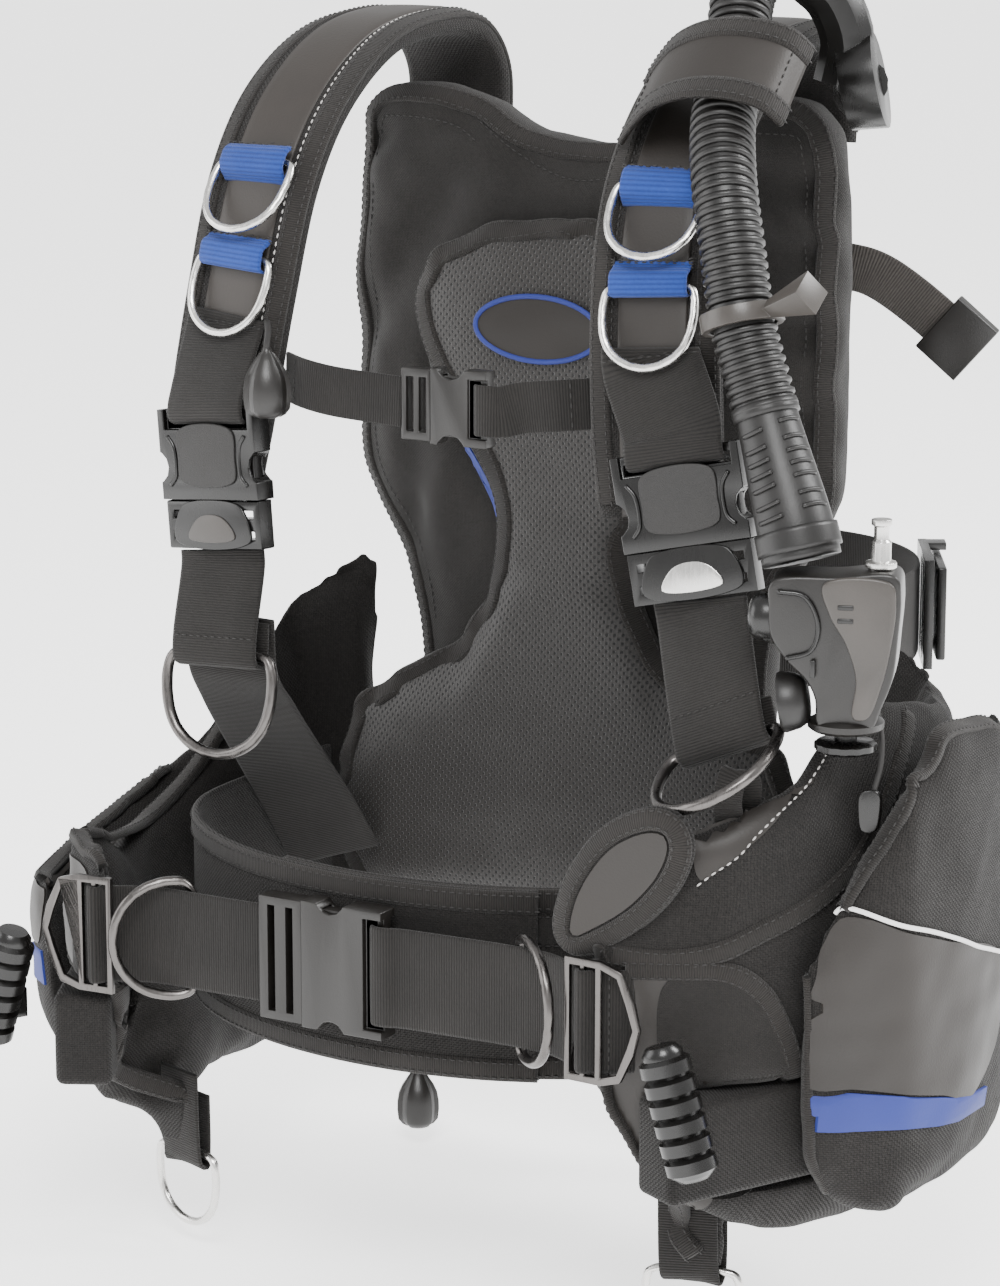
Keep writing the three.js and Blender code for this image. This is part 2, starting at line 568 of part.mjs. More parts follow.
// ---------- waist ----------
function beltPath(s, far, offset) {
  const a = belt.halfWidth - offset;
  const b = belt.halfDepth - offset;
  const points = [V(s * a, 4, belt.middle), V(s * a, -45, belt.middle)];
  const stop = (far * Math.PI) / 180;
  for (let i = 0; i <= 14; i++) {
    const t = Math.PI / 2 - ((Math.PI / 2 + stop) * i) / 14;
    points.push(V(s * a * Math.sin(t), wrap.centreY - b * Math.cos(t), belt.middle));
  }
  return points;
}
const beltOverlap = { right: 34, left: 20 };
for (const side of sides) {
  const s = side === "left" ? 1 : -1;
  const offset = side === "left" ? belt.thick + 1.2 : 0;
  const path = beltPath(s, beltOverlap[side], offset);
  add(`cummerbund_${side}`, webThrough(path, V(0, 0, 1), belt.height, belt.thick), "cordura");
}
const waistBuckle = { x: -22 };
const waistScale = 0.4 + 0.012 * webbing.wide;
const waistSeat = new THREE.Matrix4()
  .makeBasis(V(0, 0, -1), V(1, 0, 0), V(0, -1, 0))
  .setPosition(waistBuckle.x, waistLine.y, waistLine.z);
add("waist_buckle_female", femaleBuckle(webbing.wide, buckleThick.waist), "plastic", waistSeat);
add("waist_buckle_male", maleBuckle(webbing.wide, buckleThick.waist), "plastic", waistSeat);
const waistRing = { wire: 2.8, width: 58, drop: 40, x: 90 };
const waistSlider = { x: 134, y: -232, half: 29, reach: 30 };
// A flat adjuster with a middle bar and a D-shaped loop on its outer side.
function waistSliderBody() {
  const { half, reach } = waistSlider;
  const plateOf = (points, depth) =>
    new THREE.ExtrudeGeometry(outline(points), { depth, bevelEnabled: false }).translate(0, 0, -depth / 2);
  const slot = half - 3.5;
  return carve(
    plateOf([[-9.5, -half], [9.5, -half], [20, 3 - half], [reach - 3, -12], [reach, 0], [reach - 3, 12],
      [20, half - 3], [9.5, half], [-9.5, half]], 3),
    {
      cut: [
        box(1.2, 6.8, -slot, slot, -9, 9),
        box(-6.8, -1.2, -slot, slot, -9, 9),
        plateOf([[9.5, -slot], [18, 3 - slot], [reach - 6.5, -9], [reach - 3.5, 0], [reach - 6.5, 9], [18, slot - 3],
          [9.5, slot]], 18),
      ],
    },
  );
}
for (const side of sides) {
  const s = side === "left" ? 1 : -1;
  const near =
    side === "left"
      ? threaded(webbing.wide, waistSeat)
      : [V(waistBuckle.x - buckle.male * waistScale - 0.8, waistLine.y, waistLine.z)];
  const sliderSeat = new THREE.Matrix4()
    .makeBasis(V(s, -0.06, 0).normalize(), V(0, 0, s), V(-0.06 * s, -1, 0).normalize())
    .setPosition(s * waistSlider.x, waistSlider.y, waistLine.z);
  const weave = [[-7, -3.5], [-5.4, -2.4], [-4, 0], [-2.4, 2.6], [-1, 3.6]];
  weave.push(...weave.map(([x, z]) => [-x, z]).reverse());
  const path = [
    ...near,
    ...[[76, 0], [96, 0.6], [110, 3], [121, 8]].map(([x, y]) => V(s * x, waistLine.y - y, waistLine.z)),
    ...weave.map(([x, z]) => V(x, 0, z).applyMatrix4(sliderSeat)),
    V(s * 147, waistSlider.y + 4.4, waistLine.z),
    V(s * 154, waistSlider.y + 10.9, waistLine.z),
  ];
  add(`waist_webbing_${side}`, webThrough(path, V(0, 0, 1), webbing.wide - 2), "webbing");
  add(`waist_slider_${side}`, waistSliderBody(), "darkSteel", sliderSeat);
  const barY = waistLine.y + webbing.thick / 2 + fit + waistRing.wire;
  const bow = V(s, -0.85, 0).normalize();
  const ringSeat = new THREE.Matrix4().makeBasis(V(0, 0, s), bow.clone().negate(), V(0, 0, s).cross(bow.clone().negate()));
  add(`waist_ring_${side}`, dRing(waistRing), "darkSteel", ringSeat.setPosition(s * waistRing.x, barY, waistLine.z));
}

// Sternum strap.
const sternum = { y: -146, z: 124, x: 6, end: 84.5 };
const sternumScale = 0.4 + 0.012 * webbing.narrow;
const sternumSeat = new THREE.Matrix4()
  .makeBasis(V(0, 0, -1), V(1, 0, 0), V(0, -1, 0))
  .setPosition(sternum.x, sternum.y, sternum.z - 1);
add("sternum_buckle_female", femaleBuckle(webbing.narrow, buckleThick.sternum), "plastic", sternumSeat);
add("sternum_buckle_male", maleBuckle(webbing.narrow, buckleThick.sternum), "plastic", sternumSeat);
for (const side of sides) {
  const s = side === "left" ? 1 : -1;
  const near =
    side === "left"
      ? threaded(webbing.narrow, sternumSeat)
      : [V(sternum.x - buckle.male * sternumScale - 0.8, sternum.y, sternum.z - 1)];
  const path = [
    ...near,
    V(s * 52, sternum.y + 1, sternum.z + 1),
    V(s * 70, sternum.y + 4, sternum.z + 3),
    V(s * sternum.end, -133, sternum.z + 4),
  ];
  add(`sternum_webbing_${side}`, webThrough(path, V(0, 0, 1), webbing.narrow, 2), "webbing");
}

// ---------- hose, inflator and valves ----------
const hosePath = [
  [131, -34, 328], [127, -46, 331], [122, -60, 312], [126, -73.5, 292.5], [132, -94, 275.5], [138.5, -113, 256],
  [150, -133, 229], [158, -141, 206], [168, -149, 172], [181, -154, 139], [192, -159, 112], [202, -164, 88],
  [207.3, -166.3, 72.3],
];
const hoseCurve = new THREE.CatmullRomCurve3(hosePath.map((p) => V(...p)), false, "centripetal");
function tubeAlong(curve, radius, { sides: count, steps, from = 0, to = 1 }) {
  const rings = [];
  let across = V(1, 0, 0);
  for (let i = 0; i <= steps; i++) {
    const u = from + ((to - from) * i) / steps;
    const tangent = curve.getTangentAt(u);
    across = across.clone().addScaledVector(tangent, -across.dot(tangent)).normalize();
    const other = tangent.clone().cross(across);
    const r = typeof radius === "function" ? radius(u) : radius;
    rings.push(
      Array.from({ length: count }, (_, j) => {
        const a = (2 * Math.PI * j) / count;
        return curve.getPointAt(u).addScaledVector(across, r * Math.cos(a)).addScaledVector(other, r * Math.sin(a));
      }),
    );
  }
  return loft(rings);
}
const cuffFrom = 0.74;
const hoseRadius = (u) => hose.radius + (hose.cuffRadius - hose.radius) * ease((u - cuffFrom) / (1 - cuffFrom));
add("corrugated_hose", tubeAlong(hoseCurve, hoseRadius, hose), "rubber");
const valve = { radius: 23, thick: 17 };
const valveAxis = V(0.93, 0.3, 0.2).normalize();
const valveAt = V(162, -14, 270);
const elbowPath = [[152, -18, 270], [155, -17, 290], [148, -21, 310], [137.6, -28.4, 321.4]];
const elbowCurve = new THREE.CatmullRomCurve3(elbowPath.map((p) => V(...p)), false, "centripetal");
const lean = (axis) => new THREE.Matrix4().makeRotationFromQuaternion(new THREE.Quaternion().setFromUnitVectors(V(0, 1, 0), axis));
const valveBody = new THREE.CylinderGeometry(valve.radius, valve.radius - 2, valve.thick, 20).applyMatrix4(
  lean(valveAxis).setPosition(valveAt),
);
const bossRun = V(-22, 40, -10);
const boss = new THREE.CylinderGeometry(12, 12, bossRun.length(), 14).applyMatrix4(
  lean(bossRun.clone().normalize()).setPosition(valveAt.clone().addScaledVector(bossRun, 0.5)),
);
const elbow = tubeAlong(elbowCurve, 13, { sides: 10, steps: 10 });
add("shoulder_valve", carve(valveBody, { join: [elbow, boss], cut: [bladderBody(fit)] }), "plastic");

// Clip that holds the hose, with a pointed grip.
const clipU = 0.655;
const clipSeat = lean(hoseCurve.getTangentAt(clipU)).setPosition(hoseCurve.getPointAt(clipU));
const clipTube = (r, h) => new THREE.CylinderGeometry(r, r, h, 16);
add("hose_clip", carve(clipTube(hose.radius + clipWall, 8), {
  join: [new THREE.CylinderGeometry(10, 3, 34, 4).rotateZ(-Math.PI / 2).translate(hose.radius + 14, 0, 0)],
  cut: [clipTube(hose.radius + fit, 60)],
}), "greyPlastic", clipSeat);

// Power inflator: its own frame looks out between the front and the left.
const inflatorTurn = 0.35;
const inflatorX = V(Math.cos(inflatorTurn), Math.sin(inflatorTurn), 0);
const inflatorSeat = new THREE.Matrix4()
  .makeBasis(inflatorX, V(0, 0, 1), V(Math.sin(inflatorTurn), -Math.cos(inflatorTurn), 0))
  .setPosition(226, -167, 34);
const inflator = { depth: 30, button: 11, nipple: 4.5, travel: 3 };
const shell = new THREE.ExtrudeGeometry(
  outline([[-30, 33], [27, 37], [29, 28], [26, -10], [16, -34], [-8, -34], [-10, -14], [-26, 0], [-31, 14]]),
  { depth: inflator.depth - 6, bevelThickness: 3, bevelSize: 3, bevelOffset: -3, bevelSegments: 1 },
).translate(0, 0, -inflator.depth / 2 + 3);
const along = (r1, r2, x0, x1, y, z = 0) =>
  new THREE.CylinderGeometry(r2, r1, x1 - x0, 14).rotateZ(-Math.PI / 2).translate((x0 + x1) / 2, y, z);
const buttonAt = { y: 14, z: 0 };
add("inflator_body", carve(shell, {
  cut: [
    along(inflator.button + slide, inflator.button + slide, -40, -18, buttonAt.y),
    new THREE.CylinderGeometry(inflator.nipple + 1 + fit, inflator.nipple + 1 + fit, 20, 12).translate(18, 37, 0),
    new THREE.CylinderGeometry(5 + slide, 5 + slide, 20, 12).translate(4, -32, 0),
  ],
}), "greyPlastic", inflatorSeat);
add("inflate_button", along(inflator.button - 1.5, inflator.button, -39, -18 - inflator.travel - 1, buttonAt.y), "plastic", inflatorSeat);
const nippleProfile = [[0, 0], [5.5, 0], [5.5, 10], [7, 10.5], [7, 13], [4.5, 13.5], [4.5, 22], [3.4, 23], [3.4, 29], [4.6, 29.5], [4.6, 32], [0, 32]];
add("quick_connect_nipple", new THREE.LatheGeometry(nippleProfile.map(([x, y]) => new THREE.Vector2(x, y)), 12).translate(18, 27.3, 0), "steel", inflatorSeat);
const mouthProfile = [[0, 0], [11, 0], [13, 4], [14, 12], [11.5, 12], [9.5, 5], [0, 5]];
add("mouthpiece", new THREE.LatheGeometry(mouthProfile.map(([x, y]) => new THREE.Vector2(x, y)), 14).rotateZ(Math.PI / 2 + 0.15).translate(-12.5, -22, 4), "rubber", inflatorSeat);
const pressPath = [[0, 0], [13, 0], [14, 3], [13, 5], [5, 5], [5, 13], [0, 13]];
add("deflate_button", new THREE.LatheGeometry(pressPath.map(([x, y]) => new THREE.Vector2(x, y)), 14).translate(4, -34 - 5 - inflator.travel - 0.5, 0), "plastic", inflatorSeat);

// Flap over the strap that keeps the hose down.
const flap = { wide: 50, thick: 2.6 };
const flapAt = heightOn(strapTracks.left, 255);
const { point: flapPoint, tangent: flapRun, normal: flapOut, wide: flapWide } = strapTracks.left.at(flapAt);
const flapPath = [[-26, 8.7], [-17, 20], [-4, 33], [16, 42], [38, 42.5], [52, 37], [58.5, 26]].map(([x, n]) =>
  flapPoint.clone().addScaledVector(flapWide, x).addScaledVector(flapOut, n),
);
add("hose_flap", webThrough(flapPath, flapRun, flap.wide, flap.thick), "cordura");

// Pull knobs of the two dump valves.
const knobProfile = [[0, 0], [7, 0], [11, 4], [11.5, 14], [9, 22], [4, 30], [2, 31], [2, 36], [0, 36]];
const knobShape = new THREE.LatheGeometry(knobProfile.map(([x, y]) => new THREE.Vector2(x, y)), 12).rotateX(Math.PI / 2);
const knobAt = V(-73.4, -168.6, 114);
const cordRun = V(-16.6, 26.6, 6);
const knobCord = new THREE.CylinderGeometry(2, 2, cordRun.length(), 8).applyMatrix4(
  lean(cordRun.clone().normalize()).setPosition(knobAt.clone().add(V(0, 0, 35)).addScaledVector(cordRun, 0.5)),
);
add("dump_knob_shoulder", carve(knobShape.clone().translate(knobAt.x, knobAt.y, knobAt.z), { join: [knobCord] }), "plastic");
add("dump_knob_rear", carve(knobShape.clone().translate(-110, 27, -306), {
  join: [new THREE.CylinderGeometry(2, 2, 43.6, 8).rotateX(Math.PI / 2).translate(-110, 27, -250.2)],
}), "plastic");

export default vest;
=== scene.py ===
import json
import math
import bmesh
import bpy
import numpy as np
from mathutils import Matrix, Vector
from mathutils.bvhtree import BVHTree
from mathutils.geometry import delaunay_2d_cdt


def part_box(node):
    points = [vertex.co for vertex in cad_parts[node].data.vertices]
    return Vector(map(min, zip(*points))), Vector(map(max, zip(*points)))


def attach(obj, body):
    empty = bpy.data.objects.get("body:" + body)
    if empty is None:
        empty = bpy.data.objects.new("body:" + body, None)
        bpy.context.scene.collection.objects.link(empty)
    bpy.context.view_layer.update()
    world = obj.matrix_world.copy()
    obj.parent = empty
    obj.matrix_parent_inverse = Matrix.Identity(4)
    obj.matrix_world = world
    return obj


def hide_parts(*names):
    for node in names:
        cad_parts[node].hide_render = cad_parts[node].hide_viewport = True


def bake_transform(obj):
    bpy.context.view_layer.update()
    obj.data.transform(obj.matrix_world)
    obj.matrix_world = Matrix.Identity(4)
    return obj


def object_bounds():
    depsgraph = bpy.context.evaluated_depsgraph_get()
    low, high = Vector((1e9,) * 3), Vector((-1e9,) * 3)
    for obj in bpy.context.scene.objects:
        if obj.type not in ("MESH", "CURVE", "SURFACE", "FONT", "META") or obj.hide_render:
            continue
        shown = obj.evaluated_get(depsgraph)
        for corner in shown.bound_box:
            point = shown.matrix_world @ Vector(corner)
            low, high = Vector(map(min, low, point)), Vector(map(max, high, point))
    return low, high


# A diving buoyancy vest. Metres, +Z up, the diver faces -Y; left and right are the diver's.
# Lengths in the dictionaries are millimetres.
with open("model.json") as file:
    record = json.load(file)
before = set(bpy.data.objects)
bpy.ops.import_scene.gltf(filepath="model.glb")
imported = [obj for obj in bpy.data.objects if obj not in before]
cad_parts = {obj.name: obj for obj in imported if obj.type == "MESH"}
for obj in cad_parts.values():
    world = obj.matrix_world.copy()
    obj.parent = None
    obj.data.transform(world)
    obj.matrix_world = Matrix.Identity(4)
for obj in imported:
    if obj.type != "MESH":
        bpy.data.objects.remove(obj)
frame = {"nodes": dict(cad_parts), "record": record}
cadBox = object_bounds()
nodes = frame["nodes"]
bodyOf = {n: b for b, members in frame["record"]["behaviour"]["bodies"].items() for n in members}
sides = {"left": 1, "right": -1}
print("frame loaded:", len(nodes), "pieces")

# ---------- camera, light and floor ----------
view = {"place": (940.5, -1773.5, 411.2), "aim": (13, -167, 0), "lens": 109.6}
studio = {"floor": (0.93, 0.93, 0.925), "glow": 1.6, "drop": 8, "key": 105, "fill": 40, "rim": 95, "sky": 1.1}


def mm(p):
    return Vector(p) / 1000


def setStudio():
    scene = bpy.context.scene
    eye = bpy.data.cameras.new("vestCamera")
    eye.lens, eye.clip_end = view["lens"], 30
    camera = bpy.data.objects.new("vestCamera", eye)
    scene.collection.objects.link(camera)
    camera.location = mm(view["place"])
    camera.rotation_euler = (mm(view["aim"]) - mm(view["place"])).to_track_quat("-Z", "Y").to_euler()
    scene.camera = camera
    world = bpy.data.worlds.new("studioSky")
    scene.world = world
    world.use_nodes = True
    sky = world.node_tree.nodes["Background"]
    sky.inputs["Color"].default_value = (1, 1, 1, 1)
    sky.inputs["Strength"].default_value = studio["sky"]
    for name, place, size, power in (
        ("keyLight", (1.0, -2.2, 2.3), 1.3, studio["key"]),
        ("fillLight", (-2.4, -1.6, 0.9), 1.8, studio["fill"]),
        ("rimLight", (1.9, 1.2, 1.8), 1.2, studio["rim"]),
    ):
        lamp = bpy.data.lights.new(name, "AREA")
        lamp.energy, lamp.size = power, size
        light = bpy.data.objects.new(name, lamp)
        scene.collection.objects.link(light)
        light.location = place
        light.rotation_euler = (Vector((0, -0.16, 0)) - Vector(place)).to_track_quat("-Z", "Y").to_euler()
    low = cadBox[0][2] - studio["drop"] / 1000
    mesh = bpy.data.meshes.new("floor")
    mesh.from_pydata([(-14, -14, low), (14, -14, low), (14, 14, low), (-14, 14, low)], [], [(0, 1, 2, 3)])
    floor = bpy.data.objects.new("floor", mesh)
    scene.collection.objects.link(floor)
    paper = bpy.data.materials.new("floorPaper")
    paper.use_nodes = True
    shader = paper.node_tree.nodes["Principled BSDF"]
    shader.inputs["Base Color"].default_value = (*studio["floor"], 1)
    shader.inputs["Roughness"].default_value = 0.75
    shader.inputs["Emission Color"].default_value = (1, 1, 1, 1)
    shader.inputs["Emission Strength"].default_value = studio["glow"]
    mesh.materials.append(paper)


setStudio()
print("studio set")

# ---------- finishes ----------
class Ink:
    # wraps one output so that shader sums read like plain arithmetic
    def __init__(self, tree, out):
        self.tree = tree
        self.out = out

    def step(self, kind, *others, swap=False):
        node = self.tree.nodes.new("ShaderNodeMath")
        node.operation = kind
        parts = [self, *others]
        if swap:
            parts.reverse()
        for i, part in enumerate(parts):
            if isinstance(part, Ink):
                self.tree.links.new(part.out, node.inputs[i])
            else:
                node.inputs[i].default_value = part
        return Ink(self.tree, node.outputs[0])

    def __add__(self, other):
        return self.step("ADD", other)

    def __sub__(self, other):
        return self.step("SUBTRACT", other)

    def __rsub__(self, other):
        return self.step("SUBTRACT", other, swap=True)

    def __mul__(self, other):
        return self.step("MULTIPLY", other)

    def __truediv__(self, other):
        return self.step("DIVIDE", other)

    __radd__ = __add__
    __rmul__ = __mul__

    def wave(self):
        return self.step("SINE")

    def size(self):
        return self.step("ABSOLUTE")

    def whole(self):
        return self.step("FLOOR")

    def above(self, limit):
        return self.step("GREATER_THAN", limit)

    def most(self, other):
        return self.step("MAXIMUM", other)

    def least(self, other):
        return self.step("MINIMUM", other)

    def clipped(self):
        return self.most(0.0).least(1.0)


class Finish:
    # one procedural material: pattern, colour, roughness and relief
    def __init__(self, name, **fixed):
        self.mat = bpy.data.materials.new(name)
        self.mat.use_nodes = True
        self.tree = self.mat.node_tree
        self.shader = self.tree.nodes["Principled BSDF"]
        for socket, value in fixed.items():
            self.shader.inputs[socket.replace("_", " ")].default_value = value
        self.coords = self.tree.nodes.new("ShaderNodeTexCoord")

    def link(self, a, b):
        self.tree.links.new(a.out if isinstance(a, Ink) else a, b)

    def add(self, kind, settings=None, **sockets):
        node = self.tree.nodes.new(kind)
        for key, value in (settings or {}).items():
            setattr(node, key, value)
        for key, value in sockets.items():
            socket = next(s for s in node.inputs if s.enabled and s.name == key.replace("_", " "))
            if isinstance(value, (Ink, bpy.types.NodeSocket)):
                self.link(value, socket)
            else:
                socket.default_value = value
        return node

    def split(self, socket, grow):
        return [Ink(self.tree, o) * grow for o in self.add("ShaderNodeSeparateXYZ", Vector=socket).outputs]

    def place(self):
        return self.split(self.coords.outputs["Object"], 1000.0)

    def along(self):
        return self.split(self.coords.outputs["UV"], 1.0)[:2]

    def face(self):
        return [part.size() for part in self.split(self.coords.outputs["Normal"], 1.0)]

    def cloth(self):
        # across and up the cloth, whichever way it faces
        x, y, z = self.place()
        nx, ny, nz = self.face()
        sideways = nx.above(ny)
        flat = nz.above(nx.most(ny))
        return x + (y - x) * sideways * (1 - flat), z + (y - z) * flat

    def mottle(self, size, detail=3.0, stretch=(1, 1, 1)):
        spread = self.add("ShaderNodeMapping", Vector=self.coords.outputs["Object"], Scale=stretch)
        grain = self.add("ShaderNodeTexNoise", Vector=spread.outputs[0], Scale=1000 / size, Detail=detail)
        return Ink(self.tree, grain.outputs["Fac"])

    def cells(self, size):
        node = self.add("ShaderNodeTexVoronoi", Vector=self.coords.outputs["Object"], Scale=1000 / size)
        return Ink(self.tree, node.outputs["Distance"])

    def blend(self, amount, low, high):
        ends = [(*c, 1) if isinstance(c, tuple) else c for c in (low, high)]
        return self.add("ShaderNodeMix", {"data_type": "RGBA"}, Factor=amount, A=ends[0],
            B=ends[1]).outputs[2]

    def done(self, colour=None, rough=None, height=None, depth=0.3):
        if colour is not None:
            self.link(colour, self.shader.inputs["Base Color"])
        if rough is not None:
            self.link(rough.clipped(), self.shader.inputs["Roughness"])
        if height is not None:
            bump = self.add("ShaderNodeBump", Strength=1.0, Distance=depth / 1000, Height=height)
            self.link(bump.outputs[0], self.shader.inputs["Normal"])
        return self.mat


def wovenCloth(name, dark, light, pitch, sheen, depth=0.28, mess=0.5):
    # plain weave: threads go over and under each other
    f = Finish(name, Sheen_Weight=sheen, Sheen_Roughness=0.5)
    f.shader.inputs["Specular IOR Level"].default_value = 0.28
    u, v = f.cloth()
    drift = f.mottle(9, 2.0)
    u = (u + drift * 1.2) / pitch
    v = (v + drift * 0.9) / pitch
    cross = (u.whole() + v.whole()) / 2.0
    turn = (cross - cross.whole()).above(0.25)
    warp = (u * math.pi).wave().size()
    weft = (v * math.pi).wave().size()
    thread = warp * turn + weft * (1 - turn)
    speck = f.mottle(pitch * 1.6, 2.0)
    worn = f.mottle(70, 3.0)
    tone = (thread * 0.75 + (speck - 0.5) * 1.5 * mess + (worn - 0.5) * 0.5).clipped()
    return f.done(f.blend(tone, dark, light), 0.94 - tone * 0.2, thread + speck * 0.8, depth)


def ribbedBand(name, dark, light, pitch, sheen=0.25, edge=0.0, depth=0.3):
    # webbing and binding: ribs across the run, finer twill between them
    f = Finish(name, Sheen_Weight=sheen, Sheen_Roughness=0.45)
    f.shader.inputs["Specular IOR Level"].default_value = 0.3
    u, v = f.along()
    rib = (v * (math.pi / pitch)).wave().size()
    twill = ((u * 2.2 + v * 0.8) * (math.pi / 1.3)).wave().size()
    speck = f.mottle(1.4, 2.0)
    worn = f.mottle(45, 3.0)
    tone = (rib * 0.5 + twill * 0.22 + speck * 0.35 - 0.1 + (worn - 0.5) * 0.6).clipped()
    return f.done(f.blend(tone, dark, light), 0.92 - tone * 0.18, rib + twill * 0.4 + speck * 0.5, depth)


def coatedPanel(name, dark, light, rough=0.46):
    # smooth coated fabric with a fine leathery grain
    f = Finish(name)
    f.shader.inputs["Specular IOR Level"].default_value = 0.4
    grain = f.cells(1.1)
    fine = f.mottle(0.8, 2.0)
    worn = f.mottle(60, 4.0)
    tone = (worn * 1.1 - 0.05 + (fine - 0.5) * 0.3).clipped()
    return f.done(f.blend(tone, dark, light), rough + (worn - 0.5) * 0.22 + fine * 0.08,
        grain * 0.5 + fine * 0.6, 0.09)


def knitMesh(name, dark, light, across=1.85, up=2.1):
    # spacer mesh: staggered round holes in a shiny knit
    f = Finish(name, Sheen_Weight=0.2, Sheen_Roughness=0.4)
    x, y, z = f.place()
    warp = f.mottle(60, 1.0)
    x = x + warp * 9.0
    z = z + warp * 5.0
    lattice = ((x * (math.pi / across)).step("COSINE")) * ((z * (math.pi / up)).step("COSINE"))
    hole = ((lattice - 0.28) * 3.2).clipped()
    strand = ((x * (2 * math.pi / across)).wave() * 0.5 + 0.5)
    speck = f.mottle(0.9, 2.0)
    worn = f.mottle(80, 2.0)
    tone = ((1 - hole) * (0.45 + strand * 0.3 + speck * 0.35) + (worn - 0.5) * 0.3).clipped()
    return f.done(f.blend(tone, dark, light), 0.75 - tone * 0.25, (1 - hole) * 1.0 + speck * 0.25, 0.7)


def mouldedPlastic(name, dark, light, rough, grain=0.06, size=0.7, coat=0.0):
    f = Finish(name)
    f.shader.inputs["Specular IOR Level"].default_value = 0.5
    f.shader.inputs["Coat Weight"].default_value = coat
    fine = f.mottle(size, 3.0)
    worn = f.mottle(28, 4.0)
    scratch = f.mottle(1.6, 2.0, (1, 1, 0.06))
    tone = (worn * 0.9 + (fine - 0.5) * 0.3).clipped()
    return f.done(f.blend(tone, dark, light), rough + (worn - 0.5) * 0.16 + (scratch - 0.5) * 0.06,
        fine + scratch * 0.15, grain)


def satinSteel(name, dark, light, rough):
    f = Finish(name, Metallic=1.0)
    brushed = f.mottle(1.1, 3.0, (1, 1, 0.12))
    worn = f.mottle(12, 4.0)
    tone = (brushed * 0.5 + worn * 0.5).clipped()
    return f.done(f.blend(tone, dark, light), rough + (brushed - 0.5) * 0.25 + (worn - 0.5) * 0.2, brushed,
        0.03)


shade = {
    "shell": wovenCloth("woven_shell", (0.00017, 0.00015, 0.00012), (0.01463, 0.01228, 0.0109), 1.1, 0.06),
    "yoke": wovenCloth("yoke_shell", (0.00043, 0.00037, 0.00033), (0.01585, 0.01352, 0.01185), 0.8, 0.1,
    0.16),
    "roll": wovenCloth("roll_cover", (0.00072, 0.0006, 0.00052), (0.02194, 0.0186, 0.0164), 0.9, 0.12, 0.14),
    "panel": coatedPanel("coated_panel", (0.01009, 0.0083, 0.00708), (0.02205, 0.01819, 0.01553)),
    "panelPale": coatedPanel("coated_panel_pale", (0.01566, 0.01317, 0.0114), (0.0368, 0.03112, 0.02716)),
    "knit": knitMesh("spacer_knit", (0.00013, 0.00012, 0.00011), (0.01723, 0.0147, 0.01311)),
    "webbing": ribbedBand("webbing_black", (0.0003, 0.00025, 0.00022), (0.0167, 0.01441, 0.01275), 1.3, 0.08),
    "binding": ribbedBand("binding_tape", (0.00042, 0.00037, 0.00033), (0.02115, 0.01801, 0.01594), 1.15,
    0.1, depth=0.24),
    "loop": ribbedBand("webbing_blue", (0.005, 0.0186, 0.124), (0.0155, 0.0558, 0.2852), 2.2, 0.1),
    "greyStrap": ribbedBand("webbing_grey", (0.00212, 0.00186, 0.00166), (0.07235, 0.06431, 0.05796), 1.4,
    0.1),
    "blueCloth": coatedPanel("blue_cloth", (0.0112, 0.0211, 0.1488), (0.0198, 0.0347, 0.217), 0.6),
    "piping": coatedPanel("white_piping", (0.72, 0.71, 0.7), (0.85, 0.84, 0.83), 0.5),
    "black": mouldedPlastic("moulded_black", (0.00117, 0.00108, 0.00101), (0.00517, 0.00463, 0.00414), 0.27,
    0.03),
    "satin": mouldedPlastic("moulded_satin", (0.00379, 0.00329, 0.00288), (0.01352, 0.01176, 0.01035), 0.36,
    0.08),
    "grey": mouldedPlastic("moulded_grey", (0.0253, 0.02237, 0.01978), (0.06408, 0.05652, 0.05051), 0.36,
    0.05),
    "rubber": mouldedPlastic("hose_rubber", (0.00157, 0.00135, 0.00121), (0.00835, 0.00713, 0.00635), 0.42,
    0.06),
    "pad": mouldedPlastic("pebbled_pad", (0.00175, 0.00151, 0.00137), (0.01192, 0.01029, 0.00911), 0.55,
    0.4, 0.6),
    "steel": satinSteel("ring_steel", (0.5, 0.49, 0.47), (0.82, 0.81, 0.79), 0.27),
    "darkSteel": satinSteel("dark_steel", (0.07, 0.065, 0.062), (0.17, 0.16, 0.155), 0.3),
    "thread": mouldedPlastic("thread_dark", (0.005, 0.0047, 0.0045), (0.0275, 0.0255, 0.024), 0.7, 0.05),
    "threadPale": mouldedPlastic("thread_pale", (0.3, 0.29, 0.28), (0.6, 0.58, 0.56), 0.7, 0.05),
}
print("finishes made:", len(shade))

# ---------- curves, strips and pieces ----------
def unit(v):
    v = np.asarray(v, float)
    return v / np.maximum(np.linalg.norm(v, axis=-1, keepdims=True), 1e-12)


